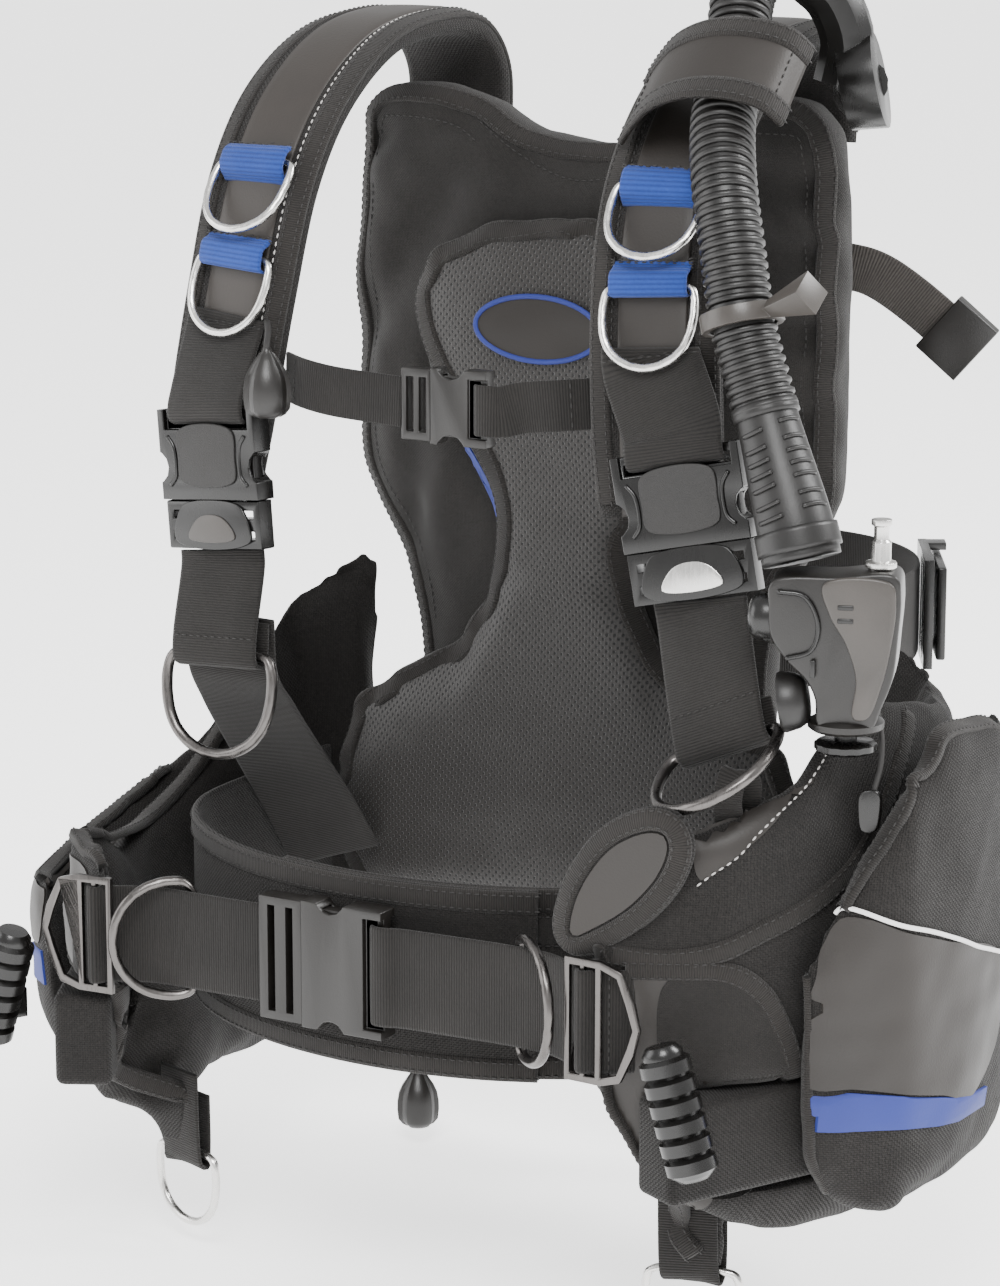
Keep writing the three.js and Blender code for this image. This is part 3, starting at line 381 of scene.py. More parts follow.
def curveAt(points, count, closed=False):
    # centripetal Catmull-Rom through the points, evenly spaced along its length
    p = np.asarray(points, float)
    if closed:
        p = np.vstack([p[-1], p, p[0], p[1]])
    else:
        p = np.vstack([2 * p[0] - p[1], p, 2 * p[-1] - p[-2]])
    fine = []
    for i in range(1, len(p) - 2):
        quad = p[i - 1:i + 3]
        gaps = np.maximum(np.linalg.norm(np.diff(quad, axis=0), axis=1) ** 0.5, 1e-6)
        t = np.concatenate([[0], np.cumsum(gaps)])
        s = np.linspace(t[1], t[2], 24, endpoint=False)[:, None]
        a = [
            (t[k + 1] - s) / (t[k + 1] - t[k]) * quad[k] + (s - t[k]) / (t[k + 1] - t[k]) * quad[k + 1]
            for k in range(3)
        ]
        b = [
            (t[k + 2] - s) / (t[k + 2] - t[k]) * a[k] + (s - t[k]) / (t[k + 2] - t[k]) * a[k + 1]
            for k in range(2)
        ]
        fine.append((t[2] - s) / (t[2] - t[1]) * b[0] + (s - t[1]) / (t[2] - t[1]) * b[1])
    fine = np.vstack(fine + [p[-2][None]])
    reach = np.concatenate([[0], np.cumsum(np.linalg.norm(np.diff(fine, axis=0), axis=1))])
    wanted = np.linspace(0, reach[-1], count)
    return np.stack([np.interp(wanted, reach, fine[:, k]) for k in range(3)], 1)


def curveBy(points, step, closed=False):
    rough = curveAt(points, 200, closed)
    run = np.linalg.norm(np.diff(rough, axis=0), axis=1).sum()
    return curveAt(points, max(4, int(round(run / step)) + 1), closed)


def tangentsOf(p, closed=False):
    if closed:
        return unit(np.roll(p, -1, 0) - np.roll(p, 1, 0))
    t = np.gradient(p, axis=0)
    return unit(t)


def blended(values, count):
    v = np.asarray(values, float)
    if v.ndim == 1:
        return np.repeat(v[None], count, 0)
    s = np.linspace(0, len(v) - 1, count)
    return np.stack([np.interp(s, range(len(v)), v[:, k]) for k in range(v.shape[1])], 1)


def calm(values, rounds, closed=False):
    v = np.array(values, float)
    for _ in range(rounds):
        if closed:
            v = (np.roll(v, 1, 0) + 2 * v + np.roll(v, -1, 0)) / 4
        else:
            v[1:-1] = (v[:-2] + 2 * v[1:-1] + v[2:]) / 4
    return v


made = {}
weld = 2e-6  # corners closer than this are one, in metres


def piece(name, verts, faces, finish, body="vest", slot=None, hides=(), uv=None, smooth=True, sharp=None):
    mesh = bpy.data.meshes.new(name)
    mesh.from_pydata([tuple(v) for v in np.asarray(verts, float) / 1000], [],
        [tuple(map(int, f)) for f in faces])
    if uv is not None:
        layer = mesh.uv_layers.new(name="UVMap")
        flat = np.array([c for face in uv for c in face], np.float32).ravel()
        layer.data.foreach_set("uv", flat)
    mesh.materials.append(finish)
    mesh.validate()
    obj = bpy.data.objects.new(name, mesh)
    bpy.context.scene.collection.objects.link(obj)
    tidyFaces(mesh)
    if smooth:
        mesh.shade_smooth()
        if sharp:
            mesh.set_sharp_from_angle(angle=math.radians(sharp))
    return settle(obj, body, hides)


def tidyFaces(mesh):
    bm = bmesh.new()
    bm.from_mesh(mesh)
    bmesh.ops.recalc_face_normals(bm, faces=bm.faces)
    bm.to_mesh(mesh)
    bm.free()


def settle(obj, body, hides):
    if body:
        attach(obj, body)
    if hides:
        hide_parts(*([hides] if isinstance(hides, str) else hides))
    made[obj.name] = obj
    return obj


def skin(rings, closed=False):
    # count x section x 3 points joined into one closed skin
    rings = np.asarray(rings, float)
    n, k = rings.shape[:2]
    faces, uv = [], []
    middle = rings.mean(1)
    run = np.concatenate([[0], np.cumsum(np.linalg.norm(np.diff(middle, axis=0), axis=1))])
    around = np.concatenate([[0], np.cumsum(np.linalg.norm(np.roll(rings, -1, 1) - rings, axis=2).mean(0))])
    closing = np.linalg.norm(middle[0] - middle[-1])
    for i in range(n if closed else n - 1):
        j = (i + 1) % n
        v0, v1 = run[i], run[i] + closing if j == 0 else run[j]
        for s in range(k):
            t = (s + 1) % k
            faces.append((i * k + s, j * k + s, j * k + t, i * k + t))
            uv.append(((around[s], v0), (around[s], v1), (around[s + 1], v1), (around[s + 1], v0)))
    if not closed:
        for i in (0, n - 1):
            loop = range(k) if i else range(k - 1, -1, -1)
            faces.append([i * k + s for s in loop])
            uv.append([(around[s], run[i]) for s in loop])
    return rings.reshape(-1, 3), faces, uv


def sweep(name, rings, finish, closed=False, **more):
    verts, faces, uv = skin(rings, closed)
    return piece(name, verts, faces, finish, uv=uv, **more)


def sweeps(name, many, finish, **more):
    # several skins in one mesh
    verts, faces, uv, base = [], [], [], 0
    for rings in many:
        v, f, u = skin(rings)
        verts.append(v)
        faces += [tuple(base + i for i in face) for face in f]
        uv += u
        base += len(v)
    return piece(name, np.vstack(verts), faces, finish, uv=uv, **more)


webSection = [(-0.5, -0.3), (-0.5, 0.3), (-0.47, 0.5), (-0.2, 0.52), (0.2, 0.52), (0.47, 0.5), (0.5, 0.3),
    (0.5, -0.3),
              (0.47, -0.5), (0.2, -0.5), (-0.2, -0.5), (-0.47, -0.5)]
tapeSection = [(-0.5, -1.6), (-0.5, 0.0), (-0.47, 0.5), (-0.36, 0.85), (-0.15, 1.0), (0.15, 1.0),
    (0.36, 0.85), (0.47, 0.5),
               (0.5, 0.0), (0.5, -1.6)]
padSection = [(-0.5, 0.0), (-0.485, 0.2), (-0.45, 0.34), (-0.37, 0.43), (-0.2, 0.49), (0, 0.5), (0.2, 0.49),
    (0.37, 0.43),
              (0.45, 0.34), (0.485, 0.2), (0.5, 0.0), (0.47, -0.3), (0.4, -0.46), (0, -0.5), (-0.4, -0.46),
              (-0.47, -0.3)]


def strip(name, path, wides, width, thick, finish, section=webSection, normals=None, closed=False, lift=0.0,
        **more):
    # flat goods along a path; width may be one number or one for each point
    p = np.asarray(path, float)
    t = tangentsOf(p, closed)
    w = blended(wides, len(p)) if np.ndim(wides) == 1 or len(wides) != len(p) else np.asarray(wides, float)
    w = unit(w - t * (w * t).sum(1, keepdims=True))
    n = unit(np.cross(t, w)) if normals is None else unit(normals)
    wide = np.broadcast_to(np.asarray(width, float), (len(p),))
    rings = [
        p[i] + w[i] * a * wide[i] + n[i] * (lift + b * thick)
        for i in range(len(p))
        for a, b in section
    ]
    return sweep(name, np.array(rings).reshape(len(p), len(section), 3), finish, closed, **more)


def tubeRings(path, radius, count=16, closed=False):
    p = np.asarray(path, float)
    t = tangentsOf(p, closed)
    across = unit(np.cross(t[0], (0.3, 0.5, 0.8)))
    radii = np.broadcast_to(np.asarray(radius, float), (len(p),))
    turn = np.arange(count) * 2 * math.pi / count
    rings = []
    for i in range(len(p)):
        across = unit(across - t[i] * across.dot(t[i]))
        other = np.cross(t[i], across)
        rings.append(p[i] + radii[i] * (np.cos(turn)[:, None] * across + np.sin(turn)[:, None] * other))
    return rings


def tube(name, path, radius, finish, count=16, closed=False, **more):
    return sweep(name, tubeRings(path, radius, count, closed), finish, closed, **more)


def treeOf(obj):
    mesh = obj.data
    mesh.calc_loop_triangles()
    co = np.empty(len(mesh.vertices) * 3)
    mesh.vertices.foreach_get("co", co)
    tri = np.empty(len(mesh.loop_triangles) * 3, np.int32)
    mesh.loop_triangles.foreach_get("vertices", tri)
    return BVHTree.FromPolygons((co.reshape(-1, 3) * 1000).tolist(), tri.reshape(-1, 3).tolist())


def joinedTree(*objs):
    points, faces = [], []
    for obj in objs:
        mesh = obj.data
        mesh.calc_loop_triangles()
        base = len(points)
        points += [tuple(v.co * 1000) for v in mesh.vertices]
        faces += [tuple(base + i for i in tri.vertices) for tri in mesh.loop_triangles]
    return BVHTree.FromPolygons(points, faces)


def snapped(tree, points, aim=None, calmed=2, closed=False):
    # lays points on a surface, along aim from outside, or by the shortest way
    spots, normals = [], []
    for p in np.asarray(points, float):
        hit = None
        if aim is not None:
            way = Vector(aim).normalized()
            hit = tree.ray_cast(Vector(p) - way * 60, way, 130)
        if hit is None or hit[0] is None:
            hit = tree.find_nearest(Vector(p))
        spots.append(hit[0])
        normals.append(hit[1])
    normals = np.array(normals, float)
    if aim is not None:
        normals *= np.sign(-(normals @ np.asarray(aim, float)))[:, None] + 1e-9
    return calm(spots, calmed, closed), unit(calm(normals, 6, closed))


stitchRows = {}


def stitchRow(path, normals, body="vest", thread="thread"):
    if len(path) > 2:
        stitchRows.setdefault((body, thread),
            []).append((np.asarray(path, float), np.asarray(normals, float)))


def tape(name, tree, points, width, thick=1.6, finish="binding", aim=None, body="vest", rows=(-0.36, 0.36),
        closed=False,
         step=3.0, slot="webbing_black"):
    # binding tape laid on a surface with a row of stitches near each edge
    path, normals = snapped(tree, curveBy(points, step, closed)[: -1 if closed else None], aim, closed=closed)
    t = tangentsOf(path, closed)
    wides = unit(np.cross(normals, t))
    obj = strip(name, path, wides, width, thick, shade[finish], tapeSection, normals, closed, body=body,
        slot=slot)
    for row in rows:
        line = path + wides * row * width + normals * thick * 0.9
        stitchRow(np.vstack([line, line[:1]]) if closed else line,
            np.vstack([normals, normals[:1]]) if closed else normals, body)
    return obj


def patch(name, tree, outline, aim, finish, lift=0.7, body="vest", slot="smooth_panel", step=4.0,
        border=0.0, thick=1.0,
          round=True):
    # a panel cut to an outline and laid on a surface
    aim = np.asarray(aim, float) / np.linalg.norm(aim)
    e1 = unit(np.cross((0, 0, 1), aim))
    e2 = np.cross(aim, e1)
    ring = curveBy(outline, 3.0, True)[:-1] if round else np.asarray(outline, float)
    flat = np.stack([ring @ e1, ring @ e2], 1)
    lo, hi = flat.min(0), flat.max(0)
    inner = [(x, y) for x in np.arange(lo[0], hi[0], step) for y in np.arange(lo[1], hi[1], step)]
    inner = [q for q in inner if insideOf(q, flat) and np.min(np.linalg.norm(flat - q, axis=1)) > step * 0.5]
    points = [Vector(q) for q in np.vstack([flat, np.array(inner).reshape(-1, 2)])]
    edges = [(i, (i + 1) % len(flat)) for i in range(len(flat))]
    verts, _, faces, _, _, _ = delaunay_2d_cdt(points, edges, [], 1, 1e-4)
    middle = ring.mean(0)
    spots, normals = [], []
    for q in verts:
        base = e1 * q[0] + e2 * q[1] + aim * (middle @ aim)
        hit = tree.ray_cast(Vector(base - aim * 90), Vector(aim), 190)
        if hit[0] is None:
            hit = tree.find_nearest(Vector(base))
        n = np.array(hit[1]) * (1 if np.dot(hit[1], aim) < 0 else -1)
        spots.append(np.array(hit[0]))
        normals.append(n)
    spots, normals = np.array(spots), np.array(normals)
    top = spots + normals * lift
    low = spots - normals * (thick - lift)
    n = len(top)
    count = {}
    for face in faces:
        for a, b in zip(face, face[1:] + face[:1]):
            count[(a, b)] = count.get((a, b), 0) + 1
    rim = [e for e in count if (e[1], e[0]) not in count]
    every = [tuple(face) for face in faces] + [tuple(i + n for i in reversed(face)) for face in faces]
    every += [(b, a, a + n, b + n) for a, b in rim]
    both = [tuple(v) for v in verts] * 2
    uv = [[both[i] for i in face] for face in every]
    return piece(name, np.vstack([top, low]), every, shade[finish], body=body, slot=slot, uv=uv, sharp=50)


def insideOf(q, ring):
    x, y = q
    a, b = ring, np.roll(ring, -1, 0)
    cross = (a[:, 1] > y) != (b[:, 1] > y)
    at = (b[:, 0] - a[:, 0]) * (y - a[:, 1]) / np.where(b[:, 1] == a[:, 1], 1e-9, b[:, 1] - a[:, 1]) + a[:, 0]
    return (np.count_nonzero(cross & (x < at)) % 2) == 1


def evaluated(obj):
    graph = bpy.context.evaluated_depsgraph_get()
    graph.update()
    return bpy.data.meshes.new_from_object(obj.evaluated_get(graph))


def meshCopy(node, name):
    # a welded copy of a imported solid, with its flat faces joined again
    bm = bmesh.new()
    bm.from_mesh(nodes[node].data)
    bmesh.ops.remove_doubles(bm, verts=bm.verts, dist=weld)
    mesh = bpy.data.meshes.new(name)
    bm.to_mesh(mesh)
    bm.free()
    obj = bpy.data.objects.new(name, mesh)
    bpy.context.scene.collection.objects.link(obj)
    return obj


def applied(obj):
    mesh = evaluated(obj)
    obj.modifiers.clear()
    old = obj.data
    obj.data = mesh
    bpy.data.meshes.remove(old)
    return obj


def hardPiece(node, finish, bevel=0.7, rounds=0, segments=3):
    # a moulded or metal piece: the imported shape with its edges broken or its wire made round
    obj = meshCopy(node, node + "_look")
    mesh = obj.data
    if rounds:
        smoother = obj.modifiers.new("round", "SUBSURF")
        smoother.levels = smoother.render_levels = rounds
    else:
        bm = bmesh.new()
        bm.from_mesh(mesh)
        bmesh.ops.dissolve_limit(bm, angle_limit=math.radians(2), verts=bm.verts, edges=bm.edges)
        bm.to_mesh(mesh)
        bm.free()
        edge = obj.modifiers.new("edge", "BEVEL")
        edge.width, edge.segments, edge.limit_method = bevel / 1000, segments, "ANGLE"
        edge.angle_limit = math.radians(28)
    applied(obj)
    obj.data.materials.clear()
    obj.data.materials.append(shade[finish])
    obj.data.shade_smooth()
    if not rounds:
        obj.data.set_sharp_from_angle(angle=math.radians(38))
    return settle(obj, bodyOf[node], node)


# ---------- padded cloth ----------
padding = {
    "wing_bladder_left": {"voxel": 5.0, "shrink": 3.0, "cap": 7, "finish": "shell", "fill": 0.55,
    "slot": "shell_fabric"},
    "wing_bladder_right": {"voxel": 5.0, "shrink": 3.0, "cap": 7, "finish": "shell", "fill": 0.5,
    "slot": "shell_fabric"},
    "cargo_pocket_left": {"voxel": 5.0, "shrink": 2.0, "cap": 6, "finish": "shell", "fill": 0.5,
    "slot": "shell_fabric"},
    "cargo_pocket_right": {"voxel": 5.0, "shrink": 2.0, "cap": 6, "finish": "shell", "fill": 0.5,
    "slot": "shell_fabric"},
    "back_bladder": {"voxel": 6.0, "shrink": 5.0, "cap": 12, "finish": "yoke", "fill": 0.6,
    "slot": "shell_fabric"},
    "back_pad": {"voxel": 5.0, "shrink": 4.0, "cap": 8, "finish": "roll", "fill": 0.7, "slot": "spacer_mesh"},
}
swells = {"long": 62, "high": 1.1, "short": 22, "low": 0.35}
simulation = {"frames": 20, "pressure": 4.5, "mass": 0.35, "stiff": 25, "bend": 2.0}


def vertexArray(mesh):
    co = np.empty(len(mesh.vertices) * 3)
    mesh.vertices.foreach_get("co", co)
    return co.reshape(-1, 3)


def vertexNormals(mesh):
    n = np.empty(len(mesh.vertices) * 3)
    mesh.vertices.foreach_get("normal", n)
    return n.reshape(-1, 3)


def setVertices(mesh, co):
    mesh.vertices.foreach_set("co", np.asarray(co, float).ravel())
    mesh.update()


def neighbourMean(mesh, co):
    edges = np.empty(len(mesh.edges) * 2, np.int32)
    mesh.edges.foreach_get("vertices", edges)
    a, b = edges.reshape(-1, 2).T
    total = np.zeros_like(co)
    count = np.zeros(len(co))
    np.add.at(total, a, co[b])
    np.add.at(total, b, co[a])
    np.add.at(count, a, 1)
    np.add.at(count, b, 1)
    return total / np.maximum(count, 1)[:, None]


def ripple(co, size, seed):
    # soft random swells of about the given wavelength
    rng = np.random.default_rng(seed)
    total = np.zeros(len(co))
    for _ in range(14):
        way = unit(rng.normal(size=3)) * 2 * math.pi / (size * rng.uniform(0.7, 1.5))
        total += np.sin(co @ way + rng.uniform(0, 6.28))
    return total / 5


def creased(co, normals, folds):
    # each fold: from, to, depth and width in millimetres; a positive depth is a valley
    moved = co.copy()
    for start, end, depth, width in folds:
        a, b = np.array(start, float), np.array(end, float)
        run = b - a
        t = np.clip(((co - a) @ run) / (run @ run), 0, 1)
        gap = np.linalg.norm(co - (a + t[:, None] * run), axis=1)
        fade = np.sin(np.clip(t, 0.02, 0.98) * math.pi) ** 0.5
        dip = np.exp(-((gap / width) ** 2)) - 0.45 * np.exp(-(((gap - 1.9 * width) / width) ** 2))
        moved -= normals * (depth * fade * dip)[:, None]
    return moved


folds = {}


def makePadded():
    pieces = {}
    for node, p in padding.items():
        obj = meshCopy(node, node + "_cloth")
        grid = obj.modifiers.new("grid", "REMESH")
        grid.mode, grid.voxel_size = "VOXEL", p["voxel"] / 1000
        applied(obj)
        co = vertexArray(obj.data)
        for _ in range(2):
            co = co * 0.5 + neighbourMean(obj.data, co) * 0.5
        setVertices(obj.data, co)
        setVertices(obj.data, co - vertexNormals(obj.data) * p["shrink"] / 1000)
        pieces[node] = obj
    starts = {node: vertexArray(obj.data) for node, obj in pieces.items()}
    for obj in pieces.values():
        cloth = obj.modifiers.new("cloth", "CLOTH")
        s = cloth.settings
        s.quality, s.mass = 4, simulation["mass"]
        s.tension_stiffness = s.compression_stiffness = simulation["stiff"]
        s.bending_stiffness = simulation["bend"]
        s.use_pressure, s.uniform_pressure_force = True, simulation["pressure"]
        s.effector_weights.gravity = 0
        cloth.point_cache.frame_start, cloth.point_cache.frame_end = 1, simulation["frames"]
    for f in range(1, simulation["frames"] + 1):
        bpy.context.scene.frame_set(f)
    for obj in pieces.values():
        applied(obj)
    bpy.context.scene.frame_set(1)
    for node, obj in pieces.items():
        p = padding[node]
        co = vertexArray(obj.data)
        move = co - starts[node]
        far = np.linalg.norm(move, axis=1, keepdims=True)
        cap = p["cap"] / 1000
        co = starts[node] + move * np.minimum(1, cap / np.maximum(far, 1e-9))
        for _ in range(3):
            co = co * 0.4 + neighbourMean(obj.data, co) * 0.6
        setVertices(obj.data, co)
        finer = obj.modifiers.new("finer", "SUBSURF")
        finer.levels = finer.render_levels = 1
        applied(obj)
        co = vertexArray(obj.data) * 1000
        n = vertexNormals(obj.data)
        seed = len(node)
        waves = ripple(co, swells["long"], seed) * swells["high"]
        waves += ripple(co, swells["short"], seed + 1) * swells["low"]
        co = co + n * waves[:, None]
        co = creased(co, n, folds.get(node, ()))
        setVertices(obj.data, co / 1000)
        obj.data.materials.clear()
        obj.data.materials.append(shade[p["finish"]])
        obj.data.shade_smooth()
        settle(obj, bodyOf[node], node)
    return pieces


folds.update({
    "wing_bladder_right": [
        ((-150, -275, -110), (-200, -235, -130), 5, 9), ((-140, -270, -150), (-195, -215, -190), 4, 10),
        ((-135, -250, -220), (-185, -190, -235), 5, 10), ((-150, -120, -60), (-205, -150, -100), 4, 9),
        ((-160, -240, -60), (-140, -190, -20), 5, 9), ((-170, -230, -90), (-205, -180, -60), 5, 8),
    ],
    "wing_bladder_left": [
        ((150, -285, -95), (215, -215, -45), 4, 12), ((130, -260, -225), (200, -210, -245), 5, 10),
        ((180, -270, -75), (225, -190, -20), 3, 10),
    ],
    "back_bladder": [
        ((60, -62, 235), (150, -58, 205), 5, 9), ((70, -62, 190), (150, -58, 175), 4, 9),
        ((-70, -62, 215), (-120, -62, 120), 4, 12),
        ((-60, -62, 240), (-150, -60, 225), 5, 9), ((90, -62, 150), (150, -60, 140), 4, 8),
        ((95, -62, 110), (150, -60, 90), 4, 9),
        ((100, -60, 60), (145, -60, 70), 4, 8), ((-100, -62, 180), (-150, -60, 100), 4, 10),
        ((-95, -62, 90), (-95, -62, 30), 3, 9),
    ],
    "cargo_pocket_left": [
        ((230, -240, -215), (262, -180, -225), 4, 9), ((235, -235, -195), (262, -200, -235), 3, 9),
    ],
})
soft = makePadded()
print("padded cloth made")

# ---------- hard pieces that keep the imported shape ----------
hardPieces = {
    "steel": ("steel_ring", 2, ["shoulder_ring_upper_left", "shoulder_ring_upper_right",
    "shoulder_ring_lower_left",
                               "shoulder_ring_lower_right", "tail_ring_left", "tail_ring_right"]),
    "darkSteel": ("steel_dark", 2, ["lower_ring_left", "lower_ring_right", "waist_ring_left",
    "waist_ring_right"]),
}
for finish, (slot, rounds, names) in hardPieces.items():
    for node in names:
        hardPiece(node, finish, rounds=rounds)
for side in sides:
    hardPiece(f"waist_slider_{side}", "darkSteel", 0.7)
    hardPiece(f"shoulder_buckle_female_{side}", "black", 1.1)
    hardPiece(f"shoulder_buckle_male_{side}", "black", 0.9)
for part in ("female", "male"):
    hardPiece(f"waist_buckle_{part}", "satin", 1.2)
    hardPiece(f"sternum_buckle_{part}", "satin", 0.7)
for node, finish, bevel in (
    ("backpack_plate", "black", 1.4), ("tank_cam_buckle", "black", 0.8), ("tank_cam_lever", "black", 1.2),
    ("tank_strap_slider", "satin", 0.8), ("hose_clip", "grey", 0.7), ("shoulder_valve", "black", 1.0),
    ("quick_connect_nipple", "steel", 0.25),
):
    hardPiece(node, finish, bevel)
print("hard pieces made")

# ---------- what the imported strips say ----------
def stations(node, toward):
    # the rings of corners of a lofted strip, from the cap that lies furthest towards the given way
    bm = bmesh.new()
    bm.from_mesh(nodes[node].data)
    bmesh.ops.remove_doubles(bm, verts=bm.verts, dist=weld)
    bm.faces.ensure_lookup_table()
    groups, seen = [], set()
    for face in bm.faces:
        if face.index in seen:
            continue
        group, queue = {face}, [face]
        seen.add(face.index)
        sharp = True
        while queue:
            now = queue.pop()
            for edge in now.edges:
                if len(edge.link_faces) != 2:
                    continue
                angle = edge.calc_face_angle()
                other = edge.link_faces[0] if edge.link_faces[1] is now else edge.link_faces[1]
                if angle < 0.01:
                    if other not in group:
                        group.add(other)
                        seen.add(other.index)
                        queue.append(other)
                elif angle < 0.6:
                    sharp = False
        if sharp and len(group) > 1:
            groups.append({v for f in group for v in f.verts})
    way = Vector(toward)
    groups.sort(key=lambda g: -sum((v.co.dot(way) for v in g)) / len(g))
    front = groups[0]
    rings, used = [], set()
    while front:
        rings.append(np.array([v.co * 1000 for v in front]))
        used |= front
        front = {e.other_vert(v) for v in front for e in v.link_edges} - used
    bm.free()
    return rings


def runOf(node, toward):
    # centre line, width direction and width of a packed strip
    centres, wides, widths = [], [], []
    for ring in stations(node, toward):
        centres.append((ring.max(0) + ring.min(0)) / 2 if len(ring) < 3 else ring.mean(0))
        spread = ring - ring.mean(0)
        way = np.linalg.svd(spread)[2][0]
        if wides and way @ wides[-1] < 0:
            way = -way
        wides.append(way)
        reach = spread @ way
        widths.append(reach.max() - reach.min())
    return np.array(centres), np.array(wides), np.array(widths)


def finer(run, step=2.0, calmed=2):
    centres, wides, widths = run
    gaps = np.linalg.norm(np.diff(centres, axis=0), axis=1)
    keep = np.concatenate([[True], gaps > 0.05])
    centres, wides, widths = centres[keep], wides[keep], widths[keep]
    reach = np.concatenate([[0], np.cumsum(np.linalg.norm(np.diff(centres, axis=0), axis=1))])
    rough = curveBy(centres, step)
    where = np.concatenate([[0], np.cumsum(np.linalg.norm(np.diff(rough, axis=0), axis=1))])
    where = where * reach[-1] / where[-1]
    w = unit(np.stack([np.interp(where, reach, wides[:, k]) for k in range(3)], 1))
    return calm(rough, calmed), calm(w, 3), calm(np.interp(where, reach, widths)[:, None], 3)[:, 0]


def outward(run, away):
    # turns the width direction so that the normal looks along away at the middle of the run
    p, w, width = run
    t = tangentsOf(p)
    n = np.cross(t, w)
    m = len(p) // 2
    return (p, -w if n[m] @ np.asarray(away, float) < 0 else w, width)


def normalsOf(p, w, closed=False):
    t = tangentsOf(p, closed)
    w = unit(w - t * (w * t).sum(1, keepdims=True))
    return unit(np.cross(t, w)), w


# ---------- hose and inflator ----------
hose = {"core": 13.4, "rib": 1.75, "pitch": 4.9, "cuff": 18.4, "cuffFrom": 0.79, "clipAt": 0.655}
hoseRoute = [(131, -104, 328), (127, -116, 331), (122, -130, 312), (126, -143.5, 292.5), (132, -164, 275.5),
             (138.5, -183, 256), (150, -203, 229), (158, -211, 206), (168, -219, 172), (181, -224, 139),
             (192, -229, 112),
             (202, -234, 88), (207.3, -236.3, 72.3)]


def geometryTree(name, inputs):
    tree = bpy.data.node_groups.new(name, "GeometryNodeTree")
    tree.interface.new_socket("Geometry", in_out="INPUT", socket_type="NodeSocketGeometry")
    for label, kind, value in inputs:
        socket = tree.interface.new_socket(label, in_out="INPUT", socket_type=kind)
        if value is not None:
            socket.default_value = value
    tree.interface.new_socket("Geometry", in_out="OUTPUT", socket_type="NodeSocketGeometry")
    start = tree.nodes.new("NodeGroupInput")
    end = tree.nodes.new("NodeGroupOutput")

    def add(kind, settings=None, **sockets):
        node = tree.nodes.new(kind)
        for key, value in (settings or {}).items():
            setattr(node, key, value)
        for key, value in sockets.items():
            socket = next(s for s in node.inputs if s.enabled and s.name == key.replace("_", " "))
            if isinstance(value, bpy.types.NodeSocket):
                tree.links.new(value, socket)
            else:
                socket.default_value = value
        return node

    return tree, start, end, add


def finishTree(tree, end, add, geometry, material):
    solid = add("GeometryNodeRealizeInstances", Geometry=geometry)
    painted = add("GeometryNodeSetMaterial", Geometry=solid.outputs[0], Material=material)
    tree.links.new(painted.outputs[0], end.inputs[0])


def makeStitchTree():
    # short rounded stitches along every edge chain, lying flat on the cloth
    tree, start, end, add = geometryTree("stitchesAlong", [
        ("Pitch", "NodeSocketFloat", 0.0042), ("Length", "NodeSocketFloat", 0.003),
        ("Thickness", "NodeSocketFloat", 0.0008),
        ("Material", "NodeSocketMaterial", None)])
    rail = add("GeometryNodeMeshToCurve", Mesh=start.outputs["Geometry"])
    spaced = add("GeometryNodeResampleCurve", {"mode": "LENGTH"}, Curve=rail.outputs[0],
        Length=start.outputs["Pitch"])
    points = add("GeometryNodeCurveToPoints", {"mode": "EVALUATED"}, Curve=spaced.outputs[0])
    up = add("GeometryNodeInputNamedAttribute", {"data_type": "FLOAT_VECTOR"}, Name="up")
    along = add("FunctionNodeAlignRotationToVector", {"axis": "X"}, Vector=points.outputs["Tangent"])
    flat = add("FunctionNodeAlignRotationToVector", {"axis": "Z", "pivot_axis": "X"},
        Rotation=along.outputs[0], Vector=up.outputs[0])
    bead = add("GeometryNodeMeshUVSphere", Segments=6, Rings=4, Radius=0.5)
    size = add("ShaderNodeCombineXYZ", X=start.outputs["Length"], Y=start.outputs["Thickness"],
        Z=start.outputs["Thickness"])
    laid = add("GeometryNodeInstanceOnPoints", Points=points.outputs[0], Instance=bead.outputs[0],
        Rotation=flat.outputs[0],
               Scale=size.outputs[0])
    finishTree(tree, end, add, laid.outputs[0], start.outputs["Material"])
    return tree


def makeRibTree():
    # round ribs square to a path; the radius at each point is stored on the path
    tree, start, end, add = geometryTree("ribsAlong", [
        ("Pitch", "NodeSocketFloat", 0.005), ("Rib", "NodeSocketFloat", 0.0016),
        ("Material", "NodeSocketMaterial", None)])
    rail = add("GeometryNodeMeshToCurve", Mesh=start.outputs["Geometry"])
    spaced = add("GeometryNodeResampleCurve", {"mode": "LENGTH"}, Curve=rail.outputs[0],
        Length=start.outputs["Pitch"])
    points = add("GeometryNodeCurveToPoints", {"mode": "EVALUATED"}, Curve=spaced.outputs[0])
    radius = add("GeometryNodeInputNamedAttribute", {"data_type": "FLOAT"}, Name="radius")
    turn = add("FunctionNodeAlignRotationToVector", {"axis": "Z"}, Vector=points.outputs["Tangent"])
    ring = add("GeometryNodeCurvePrimitiveCircle", Resolution=28, Radius=1.0)
    placed = add("GeometryNodeInstanceOnPoints", Points=points.outputs[0], Instance=ring.outputs[0],
        Rotation=turn.outputs[0],
                 Scale=radius.outputs[0])
    loops = add("GeometryNodeRealizeInstances", Geometry=placed.outputs[0])
    bead = add("GeometryNodeCurvePrimitiveCircle", Resolution=8, Radius=start.outputs["Rib"])
    ribs = add("GeometryNodeCurveToMesh", Curve=loops.outputs[0], Profile_Curve=bead.outputs[0])
    finishTree(tree, end, add, ribs.outputs[0], start.outputs["Material"])
    return tree


trees = {"stitch": makeStitchTree(), "rib": makeRibTree()}


